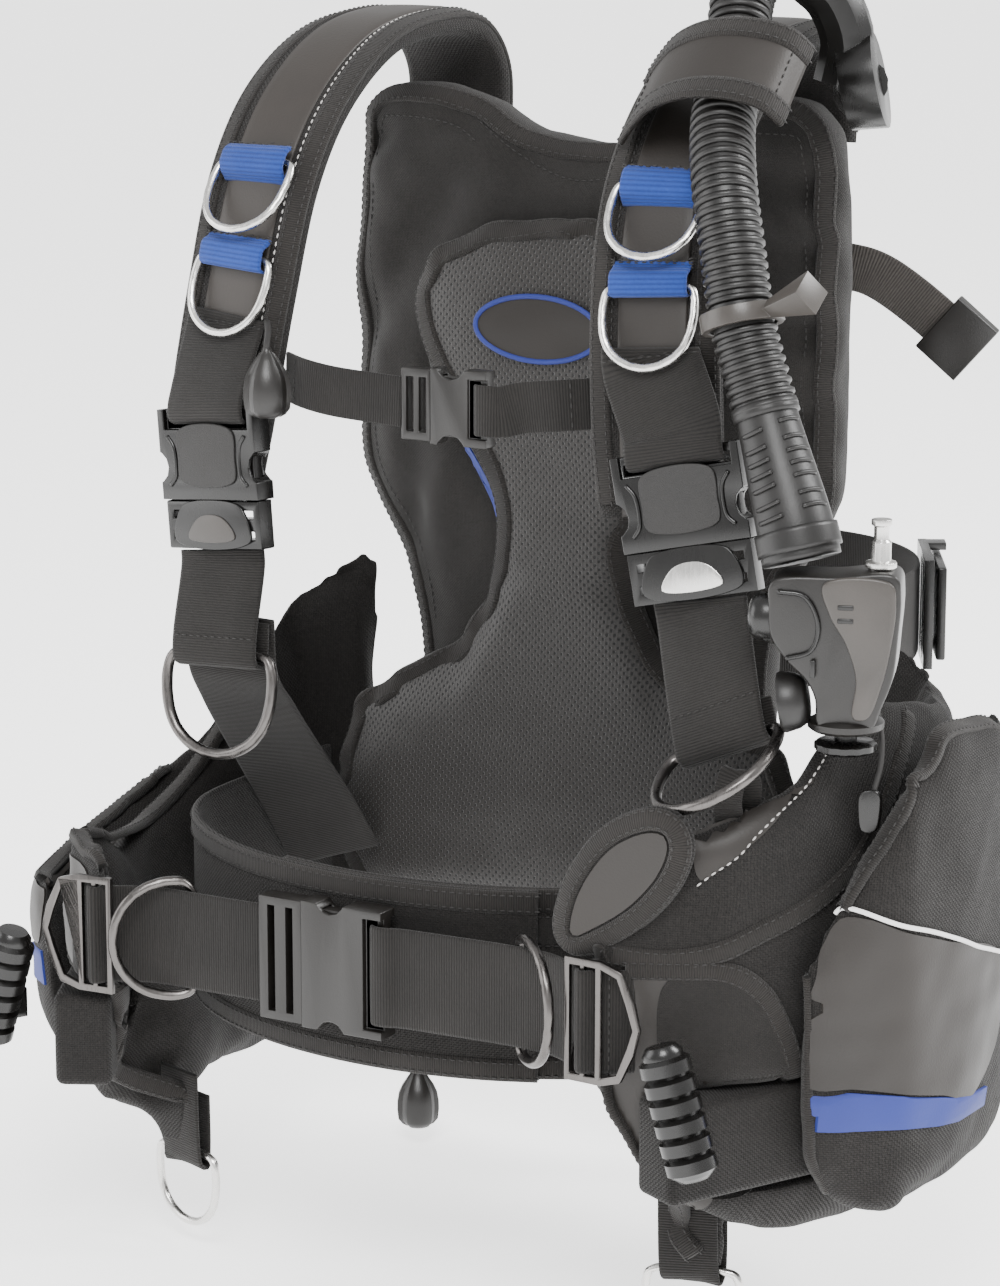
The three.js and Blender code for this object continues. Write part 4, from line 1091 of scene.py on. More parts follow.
def grown(name, tree, paths, attribute, values, settings, body):
    # runs a tree over edge chains and keeps the plain mesh
    verts, edges, data = [], [], []
    for path, value in zip(paths, values):
        base = len(verts)
        verts += [tuple(p / 1000) for p in path]
        edges += [(base + i, base + i + 1) for i in range(len(path) - 1)]
        data += [np.asarray(v, float).ravel() for v in value]
    mesh = bpy.data.meshes.new(name + "Path")
    mesh.from_pydata(verts, edges, [])
    kind = "FLOAT_VECTOR" if attribute == "up" else "FLOAT"
    layer = mesh.attributes.new(attribute, kind, "POINT")
    layer.data.foreach_set("vector" if attribute == "up" else "value", np.concatenate(data))
    carrier = bpy.data.objects.new(name + "Path", mesh)
    bpy.context.scene.collection.objects.link(carrier)
    modifier = carrier.modifiers.new("grown", "NODES")
    modifier.node_group = trees[tree]
    for item in trees[tree].interface.items_tree:
        if item.in_out == "INPUT" and item.name in settings:
            modifier[item.identifier] = settings[item.name]
    result = evaluated(carrier)
    bpy.data.objects.remove(carrier)
    result.name = name
    obj = bpy.data.objects.new(name, result)
    bpy.context.scene.collection.objects.link(obj)
    tidyFaces(obj.data)
    obj.data.shade_smooth()
    return settle(obj, body, ())


inflator = {"turn": 0.35, "place": (226, -237, 34)}


def inflatorPoint(x, y, z):
    # x out to the side, y up, z towards the front
    c, s = math.cos(inflator["turn"]), math.sin(inflator["turn"])
    px, py, pz = inflator["place"]
    return (px + x * c + z * s, py + x * s - z * c, pz + y)


def makeHose():
    path = curveBy(hoseRoute, 2.0)
    u = np.linspace(0, 1, len(path))
    swell = np.clip((u - 0.74) / 0.26, 0, 1)
    swell = swell * swell * (3 - 2 * swell)
    core = hose["core"] + (hose["cuff"] - 0.7 - hose["core"]) * swell
    body = bodyOf["corrugated_hose"]
    tubeObj = tube("hose_core", path, core, shade["rubber"], 28, body=body, slot="rubber_black",
        hides="corrugated_hose")
    ribbed = u < hose["cuffFrom"]
    ribs = grown("hose_ribs", "rib", [path[ribbed]], "radius", [core[ribbed] / 1000],
                 {"Pitch": hose["pitch"] / 1000, "Rib": hose["rib"] / 1000, "Material": shade["rubber"]},
                 body)
    ends = []
    for name, a, b, grow in (("hose_cuff_band", 0.775, 0.8, 1.4), ("hose_cuff_lip", 0.955, 0.99, 1.5)):
        part = path[(u > a) & (u < b)]
        radii = core[(u > a) & (u < b)] + grow
        ends.append(tube(name, part, radii, shade["rubber"], 28, body=body, slot="rubber_black"))
    t = tangentsOf(path)
    slots = []
    for k in range(7):
        at = int(len(path) * (0.815 + 0.02 * k))
        front = unit(np.array((0.42, -0.9, 0.1)) - t[at] * (np.array((0.42, -0.9, 0.1)) @ t[at]))
        across = np.cross(t[at], front)
        for a0, a1, reach in ((-1.15, -0.35, 0.3), (0.2, 0.95, 0.9)):
            angles = np.linspace(a0, a1, 9)
            arc = [path[at] + (front * math.cos(a) + across * math.sin(a)) * (core[at] + reach * 0.6) + t[at] * 1.6 * math.sin(a * 2)
                   for a in angles]
            slots.append(np.array(arc))
    marks = sweeps("hose_cuff_ribs", [tubeRings(arc, 1.1, 8) for arc in slots], shade["rubber"], body=body,
        slot="rubber_black")
    return tubeObj, path, [ribs, *ends, marks]


def lathe(name, profile, start, axis, finish, count=40, flutes=0, cut=0.0, **more):
    # turns a profile of (radius, height) about an axis
    axis = unit(axis)
    side = unit(np.cross(axis, (0.31, 0.22, 0.92)))
    other = np.cross(axis, side)
    turn = np.arange(count) * 2 * math.pi / count
    groove = 1 - cut * (np.cos(turn * flutes) > 0.6) if flutes else np.ones(count)
    rings = []
    for r, h in profile:
        rr = max(r, 0.02) * groove
        rings.append(np.asarray(start, float) + axis * h + rr[:,
            None] * (np.cos(turn)[:, None] * side + np.sin(turn)[:, None] * other))
    return sweep(name, rings, finish, sharp=45, **more)


def block(name, corners, low, high, place, finish, bevel=1.2, **more):
    # an outline pushed from low to high in a local frame given by place(x, y, z), with rounded edges
    n = len(corners)
    verts = [place(x, y, z) for z in (low, high) for x, y in corners]
    faces = [tuple(range(n))[::-1], tuple(range(n, 2 * n))]
    faces += [(i, (i + 1) % n, n + (i + 1) % n, n + i) for i in range(n)]
    mesh = bpy.data.meshes.new(name)
    mesh.from_pydata([tuple(np.asarray(v) / 1000) for v in verts], [], faces)
    obj = bpy.data.objects.new(name, mesh)
    bpy.context.scene.collection.objects.link(obj)
    tidyFaces(mesh)
    edge = obj.modifiers.new("edge", "BEVEL")
    edge.width, edge.segments, edge.limit_method, edge.angle_limit = bevel / 1000, 3, "ANGLE", math.radians(20)
    applied(obj)
    obj.data.materials.clear()
    obj.data.materials.append(shade[finish])
    obj.data.shade_smooth()
    obj.data.set_sharp_from_angle(angle=math.radians(40))
    tidyFaces(obj.data)
    return settle(obj, more.get("body", "vest"), more.get("hides", ()))


def rounded(corners, step=3.0):
    loop = curveBy([(x, y, 0) for x, y in corners], step, True)[:-1]
    return [(x, y) for x, y, _ in loop]


def makeInflator():
    body = bodyOf["inflator_body"]
    p = inflatorPoint
    parts = []
    shell = [(-29, 32), (0, 35), (26, 36), (28, 27), (27, 8), (25, -10), (20, -24), (16, -33), (-7, -33),
        (-9, -20), (-13, -12),
             (-22, -3), (-29, 8), (-30, 20)]
    parts.append(block("inflator_shell", rounded(shell), -13.5, 12.5, p, "satin", 4.5, body=body,
        slot="plastic_satin",
                       hides="inflator_body"))
    plate = [(-6, 32), (24, 33), (26, 24), (24, 4), (20, -14), (14, -28), (8, -28), (9, -10), (4, 6),
        (-3, 18)]
    parts.append(block("inflator_face", rounded(plate, 2.0), 10, 14.4, p, "grey", 1.3, body=body,
        slot="plastic_satin"))
    for i, (x, y, w, h) in enumerate(((4, 22, 7, 2.2), (4, 16, 7, 2.2), (-10, -6, 2.2, 8))):
        hole = [(x - w / 2, y - h / 2), (x + w / 2, y - h / 2), (x + w / 2, y + h / 2),
            (x - w / 2, y + h / 2)]
        parts.append(block(f"inflator_slot_{i}", hole, 13.0, 14.9, p, "black", 0.5, body=body,
            slot="plastic_black"))
    groove = [p(x, y, 13.4) for x, y in ((-26, 28), (-14, 26), (-8, 14), (-11, 2), (-22, -2))]
    parts.append(tube("inflator_rim", curveBy(groove, 1.5), 1.1, shade["black"], 8, body=body,
        slot="plastic_black"))
    flange = [(0.1, -3), (15, -3), (17, -1.5), (17, 1.2), (15, 2.4), (0.1, 2.4)]
    parts.append(lathe("inflator_flange", flange, p(4, -33, 0), (0, 0, 1), shade["satin"], body=body,
        slot="plastic_satin"))
    x = np.array(p(1, 0, 0)) - np.array(p(0, 0, 0))
    front = np.array(p(0, 0, 1)) - np.array(p(0, 0, 0))
    dome = [(0.1, -4.6), (5, -4.2), (8.6, -2.6), (10.6, 0), (11, 4), (11, 12), (0.1, 12)]
    lathe("inflate_button_dome", dome, p(-36, 14, 0), x, shade["black"], body="inflate_button",
        slot="plastic_black",
          hides="inflate_button")
    lathe("inflate_button_ring", [(11.2, 0), (12.3, 0.5), (12.3, 2.6), (11.2, 3), (11.2, 0)],
        p(-29.5, 14, 0), x, shade["satin"],
          body=body, slot="plastic_satin")
    press = [(0.1, -5), (12, -5), (14, -3.6), (14, -1), (12.5, 0), (5, 0.4), (5, 7), (0.1, 7)]
    lathe("deflate_button_disc", press, p(4, -41, 0), (0, 0, 1), shade["black"], flutes=12, cut=0.05,
        body="deflate_button",
          slot="plastic_black", hides="deflate_button")
    mouth = [(0.1, 0), (8, 0), (10.5, 1.5), (12.5, 5), (13.8, 11), (13.2, 12.6), (11.4, 12.2), (9.6, 6),
        (6, 4.6), (0.1, 4.4)]
    cut = math.sin(0.15)
    way = -x * math.cos(0.15) + np.array((0, 0, -cut))
    lathe("mouthpiece_cup", mouth, p(-12.5, -22, 4), way, shade["rubber"], body=bodyOf["mouthpiece"],
        slot="rubber_black",
          hides="mouthpiece")
    return parts


hoseCore, hosePath, hoseParts = makeHose()
inflatorParts = makeInflator()
mm(hosePath[0])
(float(np.linalg.norm(np.diff(hosePath, axis=0),
    axis=1).sum()) / 1000)
[mm(q) for q in hosePath]
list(hoseParts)
print("hose and inflator made")

# ---------- shoulder straps ----------
strap = {"thick": 13.6, "binding": 11, "face": 34, "loop": 38, "loopBack": 17, "loopTuck": 5,
    "bars": (224, 182)}


def makeStraps():
    for side, s in sides.items():
        p, w, width = outward(finer(runOf(f"shoulder_strap_{side}", (0, 1, 0)), 3.0), (0, -0.4, 1))
        normals, w = normalsOf(p, w)
        pad = strip(f"strap_pad_{side}", p, w, width - 0.6, strap["thick"], shade["shell"], padSection,
            normals, slot="shell_fabric", hides=f"shoulder_strap_{side}")
        tree = treeOf(pad)
        for edge in (-1, 1):
            line = p + w * (edge * (width / 2 - strap["binding"] * 0.5))[:,
                None] + normals * strap["thick"] * 0.42
            spots, out = snapped(tree, line[2:-2], calmed=1)
            wides = unit(np.cross(out, tangentsOf(spots)))
            strip(f"strap_binding_{side}_{'in' if edge < 0 else 'out'}", spots, wides, strap["binding"],
                1.1, shade["binding"],
                  tapeSection, out, slot="webbing_black")
            for row in (-0.3, 0.3):
                stitchRow(spots + wides * row * strap["binding"] + out * 1.1, out)
            if side == "right" and edge == 1 or side == "left" and edge == -1:
                inner = p + w * (edge * (width / 2 - strap["binding"] - 1.0))[:,
                    None] + normals * strap["thick"] * 0.48
                spots, out = snapped(tree, inner[8:-14], calmed=1)
                stitchRow(spots + out * 0.3, out, "vest", "threadPale" if side == "right" else "thread")
        face = (p[:, 2] > 70)
        strip(f"strap_face_{side}", p[face], w[face], strap["face"], 1.0,
            shade["panelPale" if side == "right" else "panel"],
              tapeSection, normals[face], lift=strap["thick"] / 2 - 0.1, slot="smooth_panel")
        makeRingWebbing(side, s)


def makeRingWebbing(side, s):
    p, w, width = outward(finer(runOf(f"ring_webbing_{side}", (0, 0, 1)), 1.5, 1), (0, -1, 0.2))
    normals, w = normalsOf(p, w)
    run = np.concatenate([[0], np.cumsum(np.linalg.norm(np.diff(p, axis=0), axis=1))])
    for i, height in enumerate(strap["bars"]):
        bar = run[np.argmin(np.abs(p[:, 2] - height))]
        part = (run > bar - strap["loopBack"]) & (run < bar + strap["loopTuck"])
        q, n = p[part].copy(), normals[part]
        sink = np.clip((run[part] - bar - 0.5) / strap["loopTuck"], 0, 1) ** 1.4
        q -= n * (sink * 4.4)[:, None]
        strip(f"ring_loop_{'upper' if i == 0 else 'lower'}_{side}", q, w[part], strap["loop"], 2.2,
            shade["loop"], webSection, n,
              slot="webbing_blue", hides=f"ring_webbing_{side}" if i == 0 else ())
        for row, tight in ((-strap["loopBack"] + 1.5, 1.2), (strap["loopTuck"] + 27, 0.8)):
            at = np.argmin(np.abs(run - bar - row))
            tack = np.array([p[at] + w[at] * k + normals[at] * tight for k in np.linspace(-19, 19, 14)])
            for shift in (-1.2, 1.2):
                wobble = np.array([(0, 0, shift * (1 if j % 2 else -0.4)) for j in range(len(tack))])
                stitchRow(tack + wobble, np.repeat(normals[at][None], len(tack), 0))
    low = p[:, 2] < 158
    strip(f"buckle_webbing_{side}", p[low], w[low], 47.5, 2.3, shade["webbing"], webSection, normals[low],
        slot="webbing_black")
    top = p[low][3]
    tack = np.array([top + w[low][3] * k + normals[low][3] * 1.3 for k in np.linspace(-22, 22, 16)])
    stitchRow(tack, np.repeat(normals[low][3][None], len(tack), 0))


makeStraps()
print("shoulder straps made")

# ---------- free webbings ----------
webbings = {
    "lower_webbing_left": ((0, 0, 1), (0, -1, 0), "webbing"),
    "lower_webbing_right": ((0, 0, 1), (0, -1, 0), "webbing"),
    "anchor_webbing": ((0, 0, 1), (-0.4, -1, 0), "webbing"),
    "waist_webbing_left": ((-1, 0, 0), (0, -1, 0), "webbing"),
    "waist_webbing_right": ((1, 0, 0), (0, -1, 0), "webbing"),
    "sternum_webbing_left": ((-1, 0, 0), (0, -1, 0), "webbing"),
    "sternum_webbing_right": ((1, 0, 0), (0, -1, 0), "webbing"),
    "tank_strap": ((-1, 0, 0), (0, -1, 0.4), "greyStrap"),
}
webThick = {"sternum_webbing_left": 1.9, "sternum_webbing_right": 1.9, "tank_strap": 2.0}


def makeWebbings():
    for node, (toward, away, finish) in webbings.items():
        p, w, width = outward(finer(runOf(node, toward), 1.6, 1), away)
        normals, w = normalsOf(p, w)
        slot = "webbing_grey" if finish == "greyStrap" else "webbing_black"
        if node.startswith("waist"):
            wave = np.sin(np.linspace(0, 2.2 * math.pi, len(p))) * 0.9
            p = p + normals * wave[:, None]
        strip(node + "_weave", p, w, width, webThick.get(node, 2.3), shade[finish], webSection, normals,
              body="vest" if bodyOf[node] == "vest" else None, slot=slot, hides=node)
        if node.startswith(("lower", "sternum", "waist")):
            for at in (len(p) // 2,) if node.startswith("lower") else (len(p) - 8,):
                across = np.linspace(-width[at] / 2 + 3, width[at] / 2 - 3, 14)
                line = np.array([p[at] + w[at] * k + normals[at] * 1.4 for k in across])
                stitchRow(line, np.repeat(normals[at][None], len(line), 0), bodyOf[node])


makeWebbings()
for node, start, end in (
    ("lower_webbing_left", (0.172, -0.2445, 0.005), (0.149, -0.228, 0.038)),
    ("lower_webbing_right", (-0.107, -0.236, 0.008), (-0.109, -0.231, 0.036)),
    ("waist_webbing_right", (-0.135, -0.29, -0.134), (-0.058, -0.287, -0.134)),
    ("sternum_webbing_right", (-0.07, -0.21, 0.127), (-0.016, -0.216, 0.123)),
):
    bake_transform(made[node + "_weave"])


tankAxis = 101  # how far behind the plate the cylinder's axis lies


def makeTankBand():
    mesh = meshCopy("tank_band", "bandSource")
    co = vertexArray(mesh.data) * 1000
    bpy.data.objects.remove(mesh)
    box = np.array(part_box("tank_band")) * 1000
    middle = (box[0][2] + box[1][2]) / 2
    top = co[co[:, 2] > box[1][2] - 0.5]
    angle = np.arctan2(top[:, 0], -(top[:, 1] - tankAxis))
    order = np.argsort(angle)
    pairs = top[order][: len(order) // 2 * 2].reshape(-1, 2, 3).mean(1)
    pairs[:, 2] = middle
    path = curveBy(pairs, 3.0, True)[:-1]
    wides = np.repeat([(0, 0, 1.0)], len(path), 0)
    strip("tank_band_weave", path, wides, 49.5, 2.1, shade["webbing"], webSection, closed=True,
        slot="webbing_black",
          hides="tank_band")


makeTankBand()
print("webbings made")

# ---------- waist wraps ----------
wrap = {"thick": 3.4, "binding": 11}


def makeCummerbunds():
    for side, s in sides.items():
        node = f"cummerbund_{side}"
        p, w, width = outward(finer(runOf(node, (s, 0.3, 0)), 3.0), (0, -1, 0))
        normals, w = normalsOf(p, w)
        if w[0][2] < 0:
            w = -w
        obj = strip(f"waist_wrap_{side}", p, w, width, wrap["thick"], shade["shell"], webSection,
                    normals, slot="shell_fabric", hides=node)
        tree = treeOf(obj)
        out = normals * np.sign((normals @ np.array((0, -1, 0))) + 1e-6)[len(p) // 2]
        for edge, name in ((1, "top"), (-1, "low")):
            line = p + w * (edge * (width / 2 - wrap["binding"] / 2 - 0.3))[:, None] + out * wrap["thick"] / 2
            wides = unit(np.cross(out, tangentsOf(line)))
            strip(f"waist_binding_{name}_{side}", line, wides, wrap["binding"], 1.1, shade["binding"],
                tapeSection, out,
                  slot="webbing_black")
            for row in (-0.33, 0.33):
                stitchRow(line + wides * row * wrap["binding"] + out * 1.15, out)
        if side == "left":
            band = p + w * 26 + out * (wrap["thick"] / 2)
            strip("waist_band_left", band, unit(np.cross(out, tangentsOf(band))), 14, 0.9, shade["yoke"],
                tapeSection, out,
                  slot="shell_fabric")
            stitchRow(band + w * 7 + out * 0.6, out)
            stitchRow(band - w * 7 + out * 0.6, out)


makeCummerbunds()
print("waist wraps made")

# ---------- back pad and bladder trim ----------
padTrim = {
    "mesh": [(10, 205), (-21, 203), (-54, 195), (-74, 180), (-80, 156), (-72, 128), (-50, 93), (-36, 69),
    (-29, 44), (-36, 13),
             (-58, -13), (-98, -44), (-122, -62), (-131, -86), (-132, -120), (-130, -148), (-112, -164),
             (10, -168)],
    "middle": 5, "binding": 12, "y": -92,
    "crescent": [(-60, 88), (-54, 52), (-52, 27), (-66, 2), (-98, -27), (-62, -14), (-38, 10), (-31, 27),
    (-38, 58)],
    "badge": {"x": -8, "z": 143, "wide": 36, "high": 16.5},
}
bladderHalf = [(0, 248), (34, 252), (62, 266), (96, 272), (130, 268), (147, 250), (152, 200), (153, 120),
    (151, 62), (140, 34),
               (122, 6), (116, -40), (118, -215), (100, -238), (0, -240)]
front = (0, 1, 0)


def flatRing(points, y):
    return [(x, y, z) for x, z in points]


def mirrored(points, about=0.0):
    return [(2 * about - x, *rest) for x, *rest in points]


def insetRing(ring, by):
    loop = curveBy(ring, 6.0, True)[:-1]
    t = tangentsOf(loop, True)
    n = unit(np.cross(t, (0, 1, 0)))
    inner = loop + n * by
    if np.ptp(inner[:, 0]) > np.ptp(loop[:, 0]):
        inner = loop - n * by
    return inner


def makeBack():
    pad, bladder = treeOf(soft["back_pad"]), treeOf(soft["back_bladder"])
    half = padTrim["mesh"]
    ring = flatRing(half + mirrored(half, padTrim["middle"])[::-1][1:-1], padTrim["y"])
    patch("pad_mesh", pad, ring, front, "knit", 1.3, slot="spacer_mesh", thick=3.0)
    meshTree = joinedTree(soft["back_pad"], made["pad_mesh"])
    tape("pad_binding", meshTree, ring, padTrim["binding"], 1.7, aim=front, closed=True)
    for side, about in (("right", None), ("left", padTrim["middle"])):
        shape = padTrim["crescent"] if about is None else mirrored(padTrim["crescent"], about)
        patch(f"pad_crescent_{side}", pad, flatRing(shape, padTrim["y"]), front, "blueCloth", 0.9,
            thick=2.4, slot="webbing_blue")
    b = padTrim["badge"]
    angles = np.linspace(0, 2 * math.pi, 40, endpoint=False)
    oval = [(b["x"] + b["wide"] * math.cos(a), -95, b["z"] + b["high"] * math.sin(a)) for a in angles]
    patch("pad_badge", meshTree, oval, front, "panel", 2.0, thick=3.0, round=False)
    rim, _ = snapped(meshTree, oval, front, 3, True)
    tube("pad_badge_rim", rim + np.array((0, -1.9, 0)), 1.35, shade["blueCloth"], 10, True,
        slot="webbing_blue")
    outer = flatRing(bladderHalf + mirrored(bladderHalf)[::-1][1:-1], -70)
    loop = insetRing(outer, 8.5)
    tape("bladder_binding", bladder, loop, 11, 1.4, aim=front, closed=True)
    inner = insetRing(outer, 30)
    for s in sides.values():
        line = [p for p in inner if p[0] * s > 60 and p[2] > -20]
        spots, out = snapped(bladder, line, front)
        stitchRow(spots + out * 0.3, out)
    patch("size_tag", bladder, [(-26, -75, 236), (6, -75, 249), (8, -75, 240), (-18, -75, 228)], front,
        "grey", 0.5, round=False,
          slot="plastic_satin")
    seam = [(-60, -62, 240), (-30, -62, 222), (0, -62, 214), (30, -62, 222), (60, -62, 240)]
    spots, out = snapped(bladder, curveBy(seam, 4.0), front)
    stitchRow(spots + out * 0.3, out)


makeBack()
print("back trimmed")

# ---------- wings and pockets ----------
leftFace = (-0.5, 0.866, 0)
wingTrim = {
    "panel": [(133, -296, -112), (160, -290, -112), (178, -280, -113), (182, -277, -150), (183, -268, -190),
    (180, -266, -222),
              (163, -272, -228), (152, -282, -205), (143, -288, -182), (141, -292, -153)],
    "window": [(168, -286, -114), (189, -274, -113), (200, -262, -123), (208, -252, -145),
    (211, -247, -170), (204, -238, -202),
               (190, -240, -217), (172, -262, -217), (164, -276, -200), (161, -282, -150)],
    "windowTape": [(150, -290, -110), (168, -285, -109), (189, -274, -109), (200, -262, -119),
    (209, -252, -142),
                   (213, -246, -168), (207, -238, -200), (192, -236, -217), (172, -262, -222),
                   (157, -277, -224)],
    "belly": [(133, -296, -104), (151, -290, -104), (169, -283, -104), (188, -273, -99), (199, -263, -93),
    (214, -244, -84),
              (226, -215, -68), (231, -199, -53), (233, -178, -26), (231, -163, -8)],
    "edge": [(132, -294, -106), (136, -294, -131), (140, -293, -149), (138, -294, -163), (142, -284, -200),
    (152, -266, -238),
             (163, -247, -258)],
    "triangle": [(176, -277, -50), (186, -266, -42), (198, -256, -34), (213, -231, -17), (206, -252, -40),
    (192, -268, -56),
                 (179, -278, -67)],
    "dashes": [(179, -278, -69), (196, -262, -51), (211, -240, -32), (216, -225, -15)],
}
ear = {"outline": [(164, -33), (140, -44), (122, -66), (114, -88), (115, -102), (127, -108), (144, -100),
    (163, -86), (179, -66),
                   (184, -48), (178, -36)], "y": -291, "thick": 11, "soft": 13, "face": 9}


def pillow(name, outline, y, thick, softness, finish, step=4.0):
    # a sewn flap: two crowned faces meeting at their outline
    ring = curveBy(flatRing(outline, y), 3.0, True)[:-1]
    flat = ring[:, [0, 2]]
    lo, hi = flat.min(0), flat.max(0)
    inner = [(a, b) for a in np.arange(lo[0], hi[0], step) for b in np.arange(lo[1], hi[1], step)]
    inner = [q for q in inner if insideOf(q, flat) and np.min(np.linalg.norm(flat - q, axis=1)) > step * 0.6]
    points = [Vector(q) for q in np.vstack([flat, inner])]
    verts, _, faces, _, _, _ = delaunay_2d_cdt(points, [(i, (i + 1) % len(flat)) for i in range(len(flat))],
        [], 1, 1e-4)
    rise = []
    for q in verts:
        d = min(np.min(np.linalg.norm(flat - np.array(q), axis=1)), softness) / softness
        rise.append(thick / 2 * math.sqrt(max(0.0, 1 - (1 - d) ** 2)))
    rise = np.array(rise)
    rimCount = {}
    for face in faces:
        for a, b in zip(face, face[1:] + face[:1]):
            rimCount[frozenset((a, b))] = rimCount.get(frozenset((a, b)), 0) + 1
    rim = {i for e, c in rimCount.items() if c == 1 for i in e}
    top = [(q[0], y - r, q[1]) for q, r in zip(verts, rise)]
    back = {i: len(top) + k for k, i in enumerate(j for j in range(len(verts)) if j not in rim)}
    low = [(verts[i][0], y + rise[i] * 0.5, verts[i][1]) for i in back]
    every = [tuple(f) for f in faces] + [tuple(back.get(i, i) for i in reversed(f)) for f in faces]
    return piece(name, np.array(top + low), every, shade[finish], slot="shell_fabric")


def makeWings():
    wing = treeOf(soft["wing_bladder_left"])
    flap = pillow("belly_flap_left", ear["outline"], ear["y"], ear["thick"], ear["soft"], "shell")
    flapTree = treeOf(flap)
    loop = insetRing(flatRing(ear["outline"], ear["y"] - 4), 5)
    tape("belly_flap_binding", flapTree, loop, 10, 1.5, aim=front, closed=True)
    face = insetRing(flatRing(ear["outline"], ear["y"] - 4), ear["face"] + 2)
    patch("belly_flap_face", flapTree, face, front, "panel", 0.8, thick=1.8)
    patch("wing_panel_left", wing, wingTrim["panel"], leftFace, "panel", 1.0, thick=2.6)
    patch("wing_window_left", wing, wingTrim["window"], leftFace, "yoke", 1.3, thick=3.0, slot="shell_fabric")
    patch("wing_corner_left", wing, wingTrim["triangle"], (-0.6, 0.8, 0), "panel", 0.8, thick=2.2)
    tape("wing_window_binding", wing, wingTrim["windowTape"], 10, 2.0, rows=(-0.34, 0.34))
    tape("wing_belly_binding", wing, wingTrim["belly"], 10, 1.7)
    tape("wing_edge_binding", wing, wingTrim["edge"], 11, 1.8)
    spots, out = snapped(wing, curveBy(wingTrim["dashes"], 3.0))
    stitchRow(spots + out * 1.2, out, "vest", "threadPale")
    right = treeOf(soft["wing_bladder_right"])
    tape("wing_bag_binding_right", right, [(-207, -185, -118), (-203, -225, -128), (-188, -252, -146),
        (-168, -268, -170),
                                           (-148, -270, -200), (-132, -255, -226)], 10, 1.8)
    tape("wing_edge_binding_right", right, [(-128, -292, -108), (-124, -290, -140), (-126, -278, -190),
        (-130, -255, -235)], 10, 1.7)
    tape("wing_top_binding_right", right, [(-133, -285, -104), (-160, -272, -84), (-188, -240, -62),
        (-200, -195, -40),
                                           (-196, -150, -22)], 10, 1.7)
    patch("wing_panel_right", right, [(-150, -284, -112), (-168, -276, -108), (-186, -255, -112),
        (-192, -235, -150),
                                      (-182, -250, -168), (-160, -270, -172), (-148, -282, -150)],
                                      (0.5, 0.866, 0), "panel", 0.9,
          thick=2.4)
    for side, s in sides.items():
        y = {"left": -242, "right": -228}[side]
        x = {"left": 160, "right": -134}[side]
        path = [(x, y - 6.2, -222), (x, y - 5.8, -245), (x, y - 4.9, -262), (x, y - 3.4, -269.5),
            (x, y, -272.4), (x, y + 3.4, -269.5),
                (x, y + 4.4, -262), (x, y + 4.2, -236)]
        strip(f"tail_tab_{side}", curveBy(path, 1.5), unit((1, s * 0.3, 0)), 28, 2.0, shade["webbing"],
            slot="webbing_black")


pocketTrim = {
    "panel": [(233, -246, -86), (242, -239, -86), (255, -228, -93), (262, -200, -103), (264, -138, -127),
    (264, -141, -166),
              (263, -170, -184), (262, -200, -176), (256, -226, -170), (239, -243, -165), (221, -255, -163),
              (223, -254, -120)],
    "stripe": [(219, -255, -165), (239, -243, -167), (256, -226, -171), (262, -200, -177),
    (264, -150, -187), (264, -150, -197),
               (260, -200, -191), (255, -224, -187), (239, -243, -185), (220, -255, -186)],
    "piping": [(226, -249, -81), (238, -242, -82), (255, -226, -91), (262, -200, -101), (264, -170, -114),
    (264, -136, -126)],
    "seam": [(217, -253, -112), (218, -256, -150), (220, -256, -192), (218, -248, -225)],
}
sideFace = (-0.8, 0.6, 0)


def makePockets():
    pocket = treeOf(soft["cargo_pocket_left"])
    patch("pocket_panel_left", pocket, pocketTrim["panel"], sideFace, "panel", 0.9, thick=2.6)
    patch("pocket_stripe_left", pocket, pocketTrim["stripe"], sideFace, "blueCloth", 1.3, thick=2.6,
        slot="webbing_blue",
          round=False)
    spots, out = snapped(pocket, curveBy(pocketTrim["piping"], 3.0))
    tube("pocket_piping_left", spots + out * 1.1, 1.1, shade["piping"], 10, slot="webbing_grey")
    tape("pocket_binding_left", pocket, [(226, -247, -76), (240, -236, -58), (247, -226, -38),
        (252, -206, -18),
                                         (258, -165, -8), (262, -130, -12)], 9, 1.6)
    tape("pocket_edge_left", pocket, pocketTrim["seam"], 7, 1.4, rows=(0.0,))
    other = treeOf(soft["cargo_pocket_right"])
    patch("pocket_panel_right", other, [(-200, -250, -100), (-225, -225, -95), (-236, -180, -95),
        (-236, -140, -100),
                                        (-236, -140, -160), (-232, -190, -168), (-220, -230, -165),
                                        (-200, -250, -160)],
          (0.8, 0.6, 0), "panel", 0.9, thick=2.4)
    patch("pocket_stripe_right", other, [(-200, -250, -166), (-222, -230, -170), (-234, -190, -174),
        (-236, -140, -168),
                                         (-236, -140, -182), (-233, -190, -190), (-220, -230, -187),
                                         (-200, -250, -184)],
          (0.8, 0.6, 0), "blueCloth", 1.2, thick=2.4, slot="webbing_blue", round=False)
    tape("pocket_binding_right", other, [(-195, -248, -92), (-220, -222, -84), (-232, -180, -76),
        (-234, -120, -74)], 9, 1.6)


makeWings()
makePockets()
print("wings and pockets trimmed")

# ---------- pouches, handles and knobs ----------
grip = {"x": 186.2, "rightIn": 23.6, "y": -310, "z": -166, "lean": 0.3, "long": 62, "ribs": 6,
    "radius": 11.8, "waist": 9.4}
knob = [(0.1, 0), (6.4, 0), (8.6, 1.2), (10.8, 4), (11.4, 9), (11.3, 14), (10.4, 19), (8.6, 23), (6, 27),
    (4, 30), (2.6, 31), (2, 33)]


